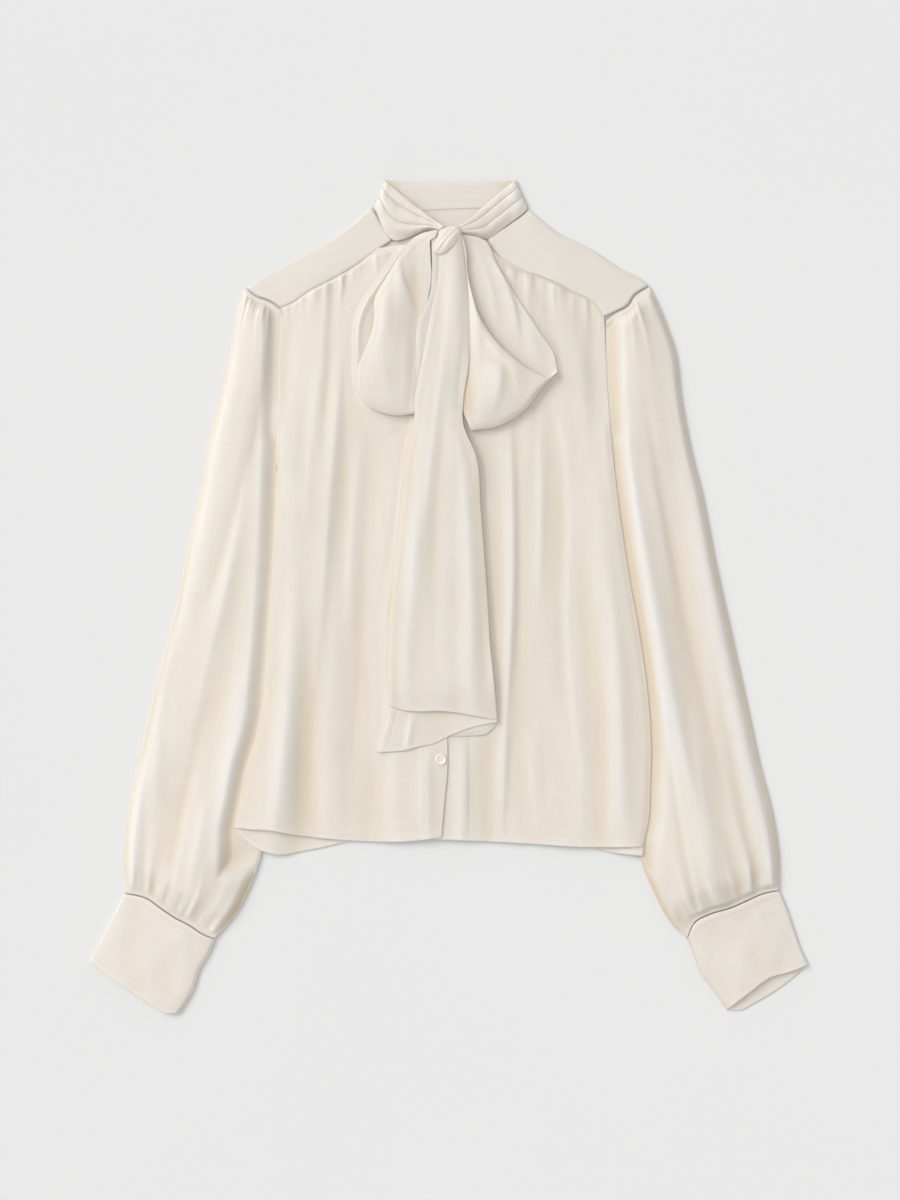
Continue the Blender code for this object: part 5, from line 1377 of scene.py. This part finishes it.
def front_tail_height(x, y, u, v):
    """Front end: narrow and rounded under the knot, wide and flatter below."""
    near_knot = 2.6 * np.exp(-((v / 0.05) ** 2))
    arch = 2.2 * np.sin(np.pi * u) ** 0.8 * np.exp(-((v / 0.36) ** 2))
    soft = 1.0 * drift(x, y, 16.0, 90.0, 9.1) * smooth_step(v / 0.1)
    folds = fold_heights(x, y, TAIL_FRONT_FOLDS) * smooth_step(v / 0.06)
    edges = 1.9 * np.exp(-((np.minimum(u, 1.0 - u) / 0.17) ** 1.3)) * smooth_step((v - 0.36) / 0.2)
    return TAIL_FRONT_Z + near_knot + arch + soft + folds - edges - tail_drop(y)


def back_tail_height(x, y, u, v):
    """Back end: flat under the front one, with its own folds where it shows."""
    sliver = fold_heights(x, y, (TAIL_SLIVER,))
    bowl = -0.8 * np.exp(-(((x + 10.0) / 20.0) ** 2)) * smooth_step((-100.0 - y) / 14.0)
    shown = smooth_step((y - 170.0) / 40.0) * 1.2 * (1.0 - smooth_step(u / 0.5))
    edges = 1.0 * np.exp(-((np.minimum(u, 1.0 - u) / 0.12) ** 1.6)) * smooth_step((v - 0.1) / 0.3)
    edges = edges * smooth_step((y + 40.0) / 60.0)
    return TAIL_BACK_Z - tail_drop(y) + sliver + bowl + shown - edges


tail_front = build_tail("tail_front_silk", "tail_front", TAIL_FRONT_ROWS, TAIL_FRONT_END, front_tail_height,
                        (0.105, 0.45), (50, 175))
tail_back = build_tail("tail_back_silk", "tail_back", TAIL_BACK_ROWS, TAIL_BACK_END, back_tail_height,
                       (0.118, 0.49), (50, 110))

# %% Turned edge of the back end
u, v = np.meshgrid(np.linspace(0.0, 1.0, 36), np.linspace(0.0, 1.0, 14), indexing="ij")
plan = blend(read_curve(TAIL_TURN_UPPER, u), read_curve(TAIL_TURN_LOWER, u), v[..., None])
z = TAIL_BACK_Z - tail_drop(plan[..., 1]) - 1.1 - 0.9 * v ** 2 + 0.5 * np.sin(np.pi * v) * np.sin(np.pi * u)
tail_turn = cloth_object("tail_turn_silk", [placed_grid(np.dstack((plan, z)), (1.0 - v) * 14.0, 0.7)], SILK)
sew_in(tail_turn, ["tail_back"], (0.054, 0.016))

# %% [markdown]
# The knot is a rounded body with the wrap of the band across it. Grooves along a few slanted planes give
# the folds of the wrap, and the whole is softer than a ball because its section is a little square.

# %% Knot
# Columns: centre, radii, turn in plan in degrees, squareness, seed.
KNOT_BODIES = (
    ((0.2, 338.6, 12.9), (11.6, 10.4, 5.8), 0.0, 2.5, 2.3),
    ((-1.4, 336.8, 15.8), (16.6, 9.2, 5.9), 50.0, 2.2, 4.1),
)
# Columns: body, depth, half width, offset across the body, bow of the line.
KNOT_GROOVES = (
    (0, 1.3, 0.12, 0.30, 0.20),
    (0, 1.0, 0.10, -0.25, -0.10),
    (0, 0.9, 0.09, -0.62, 0.15),
    (1, 0.7, 0.14, 0.42, 0.10),
    (1, 0.6, 0.12, -0.18, 0.24),
)


def wrapped_body(bm, index):
    """A rounded, slightly square body with grooves along its length."""
    centre, radii, turn, square, seed = KNOT_BODIES[index]
    made = bmesh.ops.create_uvsphere(bm, u_segments=80, v_segments=56, radius=1.0)
    angle = math.radians(turn)
    for vert in made["verts"]:
        way = vert.co.normalized()
        boxy = sum(abs(value) ** square for value in way) ** (-1.0 / square)
        sunk = -0.6 * noise.noise(way * 1.9 + Vector((0.0, 0.0, seed)))
        for body, depth, width, offset, bow in KNOT_GROOVES:
            across = way.y - offset - bow * (1.0 - way.x * way.x)
            if body == index:
                sunk += depth * math.exp(-((across / width) ** 2)) * max(way.z + 0.3, 0.0)
        spot = [way[axis] * (radii[axis] * boxy - sunk) for axis in range(3)]
        vert.co = (
            centre[0] + spot[0] * math.cos(angle) - spot[1] * math.sin(angle),
            centre[1] + spot[0] * math.sin(angle) + spot[1] * math.cos(angle),
            centre[2] + spot[2],
        )


bm = bmesh.new()
for index in range(len(KNOT_BODIES)):
    wrapped_body(bm, index)
bmesh.ops.scale(bm, vec=(MM, MM, MM), verts=bm.verts)
mesh = bpy.data.meshes.new("knot_silk")
bm.to_mesh(mesh)
bm.free()
mesh.materials.append(SILK_DOUBLE)
uv = mesh.uv_layers.new(name="cloth")
for loop in mesh.loops:
    spot = mesh.vertices[loop.vertex_index].co
    uv.data[loop.index].uv = (spot.x - 0.6 * spot.y, spot.y + 0.6 * spot.x)
for label, value in (("hem", 50.0), ("doubled", 1.0), ("painted_fold_light", 0.0)):
    mesh.attributes.new(label, "FLOAT", "POINT").data.foreach_set("value", np.full(len(mesh.vertices), value))
mesh.shade_smooth()
knot = bpy.data.objects.new("knot_silk", mesh)
bpy.context.scene.collection.objects.link(knot)
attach(knot, "root")
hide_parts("knot")
print("knot faces:", len(mesh.polygons))

# %% [markdown]
# ## Buttons
# Six small shell buttons close the front. Only the lowest shows below the bow. Each is turned from a
# profile with a dished middle, drilled with four holes and sewn on with a cross of thread.

# %% Shell material
def make_shell():
    """Pearly shell: ivory with faint drifting bands and a clear gloss."""
    material = bpy.data.materials.new("button_shell")
    material.use_nodes = True
    tree = material.node_tree
    shader = tree.nodes["Principled BSDF"]
    coordinates = tree.nodes.new("ShaderNodeTexCoord")
    bands = streaks(tree, coordinates.outputs["Object"], (260.0, 90.0, 400.0), detail=4.0)
    colour = mix_colour(tree, bands, (0.70, 0.63, 0.52), (0.90, 0.87, 0.80))
    tree.links.new(colour, shader.inputs["Base Color"])
    tree.links.new(math_node(tree, "ADD", math_node(tree, "MULTIPLY", bands, 0.12), 0.14), shader.inputs["Roughness"])
    shader.inputs["Coat Weight"].default_value = 0.5
    shader.inputs["Coat Roughness"].default_value = 0.12
    return material


def make_thread():
    """Sewing thread, twisted."""
    material = bpy.data.materials.new("sewing_thread")
    material.use_nodes = True
    tree = material.node_tree
    shader = tree.nodes["Principled BSDF"]
    coordinates = tree.nodes.new("ShaderNodeTexCoord")
    twist = streaks(tree, coordinates.outputs["Object"], (5200.0, 5200.0, 1500.0))
    tree.links.new(mix_colour(tree, twist, (0.70, 0.63, 0.52), (0.86, 0.80, 0.71)), shader.inputs["Base Color"])
    shader.inputs["Roughness"].default_value = 0.6
    bump = tree.nodes.new("ShaderNodeBump")
    bump.inputs["Strength"].default_value = 0.4
    bump.inputs["Distance"].default_value = 0.1 * MM
    tree.links.new(twist, bump.inputs["Height"])
    tree.links.new(bump.outputs["Normal"], shader.inputs["Normal"])
    return material


# %% Buttons and their thread
BUTTON_X = -7.7
BUTTON_LOWEST_Y = -154.0
BUTTON_SPACING = 83.0
BUTTON_COUNT = 6
BUTTON_RADIUS = 5.3
BUTTON_HEIGHT = 2.2
DISH_RADIUS = 3.6
HOLE_RADIUS = 0.55
HOLE_OFFSET = 1.15
SHELL_FINISH = make_shell()
THREAD = make_thread()


def tube_mesh(bm, start, end, radius, sides=10):
    """Add a short round rod between two points."""
    start, end = Vector(start), Vector(end)
    made = bmesh.ops.create_cone(bm, cap_ends=True, segments=sides, radius1=radius, radius2=radius,
                                 depth=(end - start).length)
    turn = (end - start).to_track_quat("Z", "Y").to_matrix()
    bmesh.ops.rotate(bm, verts=made["verts"], cent=(0.0, 0.0, 0.0), matrix=turn)
    bmesh.ops.translate(bm, verts=made["verts"], vec=(start + end) / 2)


def plain_object(name, bm, material):
    """Finish a hard piece that is modelled in millimetres."""
    bmesh.ops.scale(bm, vec=(MM, MM, MM), verts=bm.verts)
    bmesh.ops.recalc_face_normals(bm, faces=bm.faces[:])
    mesh = bpy.data.meshes.new(name)
    bm.to_mesh(mesh)
    bm.free()
    mesh.materials.append(material)
    mesh.shade_smooth()
    mesh.set_sharp_from_angle(angle=math.radians(40))
    obj = bpy.data.objects.new(name, mesh)
    bpy.context.scene.collection.objects.link(obj)
    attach(obj, "root")
    return obj


thread_bm = bmesh.new()
for i in range(BUTTON_COUNT):
    y = BUTTON_LOWEST_Y + i * BUTTON_SPACING
    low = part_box("button_%d" % (i + 1))[0][2] / MM
    top = low + BUTTON_HEIGHT
    bm = bmesh.new()
    profile = (
        (0.0, low), (BUTTON_RADIUS - 0.9, low), (BUTTON_RADIUS - 0.25, low + 0.35), (BUTTON_RADIUS, low + 0.9),
        (BUTTON_RADIUS, low + 1.4), (BUTTON_RADIUS - 0.25, low + 1.95), (BUTTON_RADIUS - 0.8, top),
        (DISH_RADIUS + 0.2, top - 0.12), (DISH_RADIUS - 0.4, top - 0.6), (DISH_RADIUS - 1.0, top - 0.75),
        (0.0, top - 0.75),
    )
    verts = [bm.verts.new((BUTTON_X + radius, y, z)) for radius, z in profile]
    edges = [bm.edges.new(pair) for pair in zip(verts, verts[1:])]
    bmesh.ops.spin(bm, geom=verts + edges, cent=(BUTTON_X, y, 0.0), axis=(0.0, 0.0, 1.0), angle=math.tau,
                   steps=48, use_merge=True)
    bmesh.ops.remove_doubles(bm, verts=bm.verts, dist=0.001)
    button = plain_object("button_%d_shell" % (i + 1), bm, SHELL_FINISH)
    cutter_bm = bmesh.new()
    corners = [(BUTTON_X + a * HOLE_OFFSET, y + b * HOLE_OFFSET) for a, b in ((1, 1), (-1, 1), (-1, -1), (1, -1))]
    for cx, cy in corners:
        tube_mesh(cutter_bm, (cx, cy, low - 1.0), (cx, cy, top + 1.0), HOLE_RADIUS, sides=16)
    cutter = plain_object("holes", cutter_bm, SHELL_FINISH)
    drill = button.modifiers.new("holes", "BOOLEAN")
    drill.operation = "DIFFERENCE"
    drill.object = cutter
    drilled = bpy.data.meshes.new_from_object(button.evaluated_get(bpy.context.evaluated_depsgraph_get()))
    button.modifiers.clear()
    button.data = drilled
    bpy.data.objects.remove(cutter, do_unlink=True)
    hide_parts("button_%d" % (i + 1))
    lift = top - 0.75 + 0.2
    for a, b in ((0, 2), (1, 3)):
        tube_mesh(thread_bm, (*corners[a], lift), (*corners[b], lift), 0.22)
    for cx, cy in corners:
        tube_mesh(thread_bm, (cx, cy, low - 0.4), (cx, cy, lift + 0.1), 0.3)
button_thread = plain_object("button_thread", thread_bm, THREAD)
print("buttons drilled:", BUTTON_COUNT)

# %% [markdown]
# ## Table, light and camera
# The blouse was photographed from straight above on a pale table. A wide sun from the upper left gives
# the folds their soft shade, a second one from nearly overhead lifts the creases, a lamp at the left
# lights only the blouse, and an even sky does the rest. The camera is a long lens far away, so that the
# blouse keeps its plan shape.

# %% Table
def make_table():
    """Smooth pale table top with the faintest unevenness."""
    material = bpy.data.materials.new("table")
    material.use_nodes = True
    tree = material.node_tree
    shader = tree.nodes["Principled BSDF"]
    coordinates = tree.nodes.new("ShaderNodeTexCoord")
    grain = streaks(tree, coordinates.outputs["Object"], (3.0, 3.0, 3.0))
    tree.links.new(mix_colour(tree, grain, (0.760, 0.761, 0.762), (0.770, 0.771, 0.772)), shader.inputs["Base Color"])
    shader.inputs["Roughness"].default_value = 0.9
    shader.inputs["IOR"].default_value = 1.2
    return material


bm = bmesh.new()
bmesh.ops.create_grid(bm, x_segments=1, y_segments=1, size=6.0)
bmesh.ops.translate(bm, vec=(0.0, 0.0, -0.0005), verts=bm.verts)
mesh = bpy.data.meshes.new("table")
bm.to_mesh(mesh)
bm.free()
mesh.materials.append(make_table())
table = bpy.data.objects.new("table", mesh)
bpy.context.scene.collection.objects.link(table)

# %% Light
# Columns: azimuth from +X, elevation, strength, angular size in degrees.
SUNS = {
    "window": (146.0, 40.0, 1.62, 34.0),
    "overhead": (148.0, 86.0, 1.0, 30.0),
}
SKY = 0.42
GLOW_POWER = 2.4
GLOW_PLACE = (-1.1, 0.25, 0.55)


def add_sun(name, azimuth, elevation, strength, size):
    """A sun lamp that shines from a direction."""
    lamp = bpy.data.lights.new(name, "SUN")
    lamp.energy = strength
    lamp.angle = math.radians(size)
    obj = bpy.data.objects.new(name, lamp)
    a, e = math.radians(azimuth), math.radians(elevation)
    source = Vector((math.cos(e) * math.cos(a), math.cos(e) * math.sin(a), math.sin(e)))
    obj.rotation_euler = source.to_track_quat("Z", "Y").to_euler()
    obj.location = source * 3.0
    bpy.context.scene.collection.objects.link(obj)


for name, values in SUNS.items():
    add_sun(name, *values)
blouse = bpy.data.collections.new("blouse")
for obj in bpy.context.scene.objects:
    if obj.type == "MESH" and obj is not table:
        blouse.objects.link(obj)
glow = bpy.data.lights.new("side_glow", "AREA")
glow.energy = GLOW_POWER
glow.size = 0.9
glow_lamp = bpy.data.objects.new("side_glow", glow)
glow_lamp.location = GLOW_PLACE
glow_lamp.rotation_euler = Vector(GLOW_PLACE).to_track_quat("Z", "Y").to_euler()
bpy.context.scene.collection.objects.link(glow_lamp)
glow_lamp.light_linking.receiver_collection = blouse
world = bpy.data.worlds.new("sky")
world.use_nodes = True
background = world.node_tree.nodes["Background"]
background.inputs["Color"].default_value = (1.0, 0.995, 0.985, 1.0)
background.inputs["Strength"].default_value = SKY
bpy.context.scene.world = world
bpy.context.scene.view_settings.view_transform = "Standard"
print("lights:", ", ".join(SUNS), "and sky")

# %% Camera
LENS = 85.0
FILM = 36.0
FRAME_HEIGHT = 1.14
AIM = (0.001, -0.003)
camera_data = bpy.data.cameras.new("camera")
camera_data.lens = LENS
camera_data.sensor_width = FILM
camera_data.clip_end = 50.0
camera = bpy.data.objects.new("camera", camera_data)
camera.location = (*AIM, FRAME_HEIGHT * LENS / FILM)
bpy.context.scene.collection.objects.link(camera)
bpy.context.scene.camera = camera
print("camera height: %.2f m" % camera.location.z)
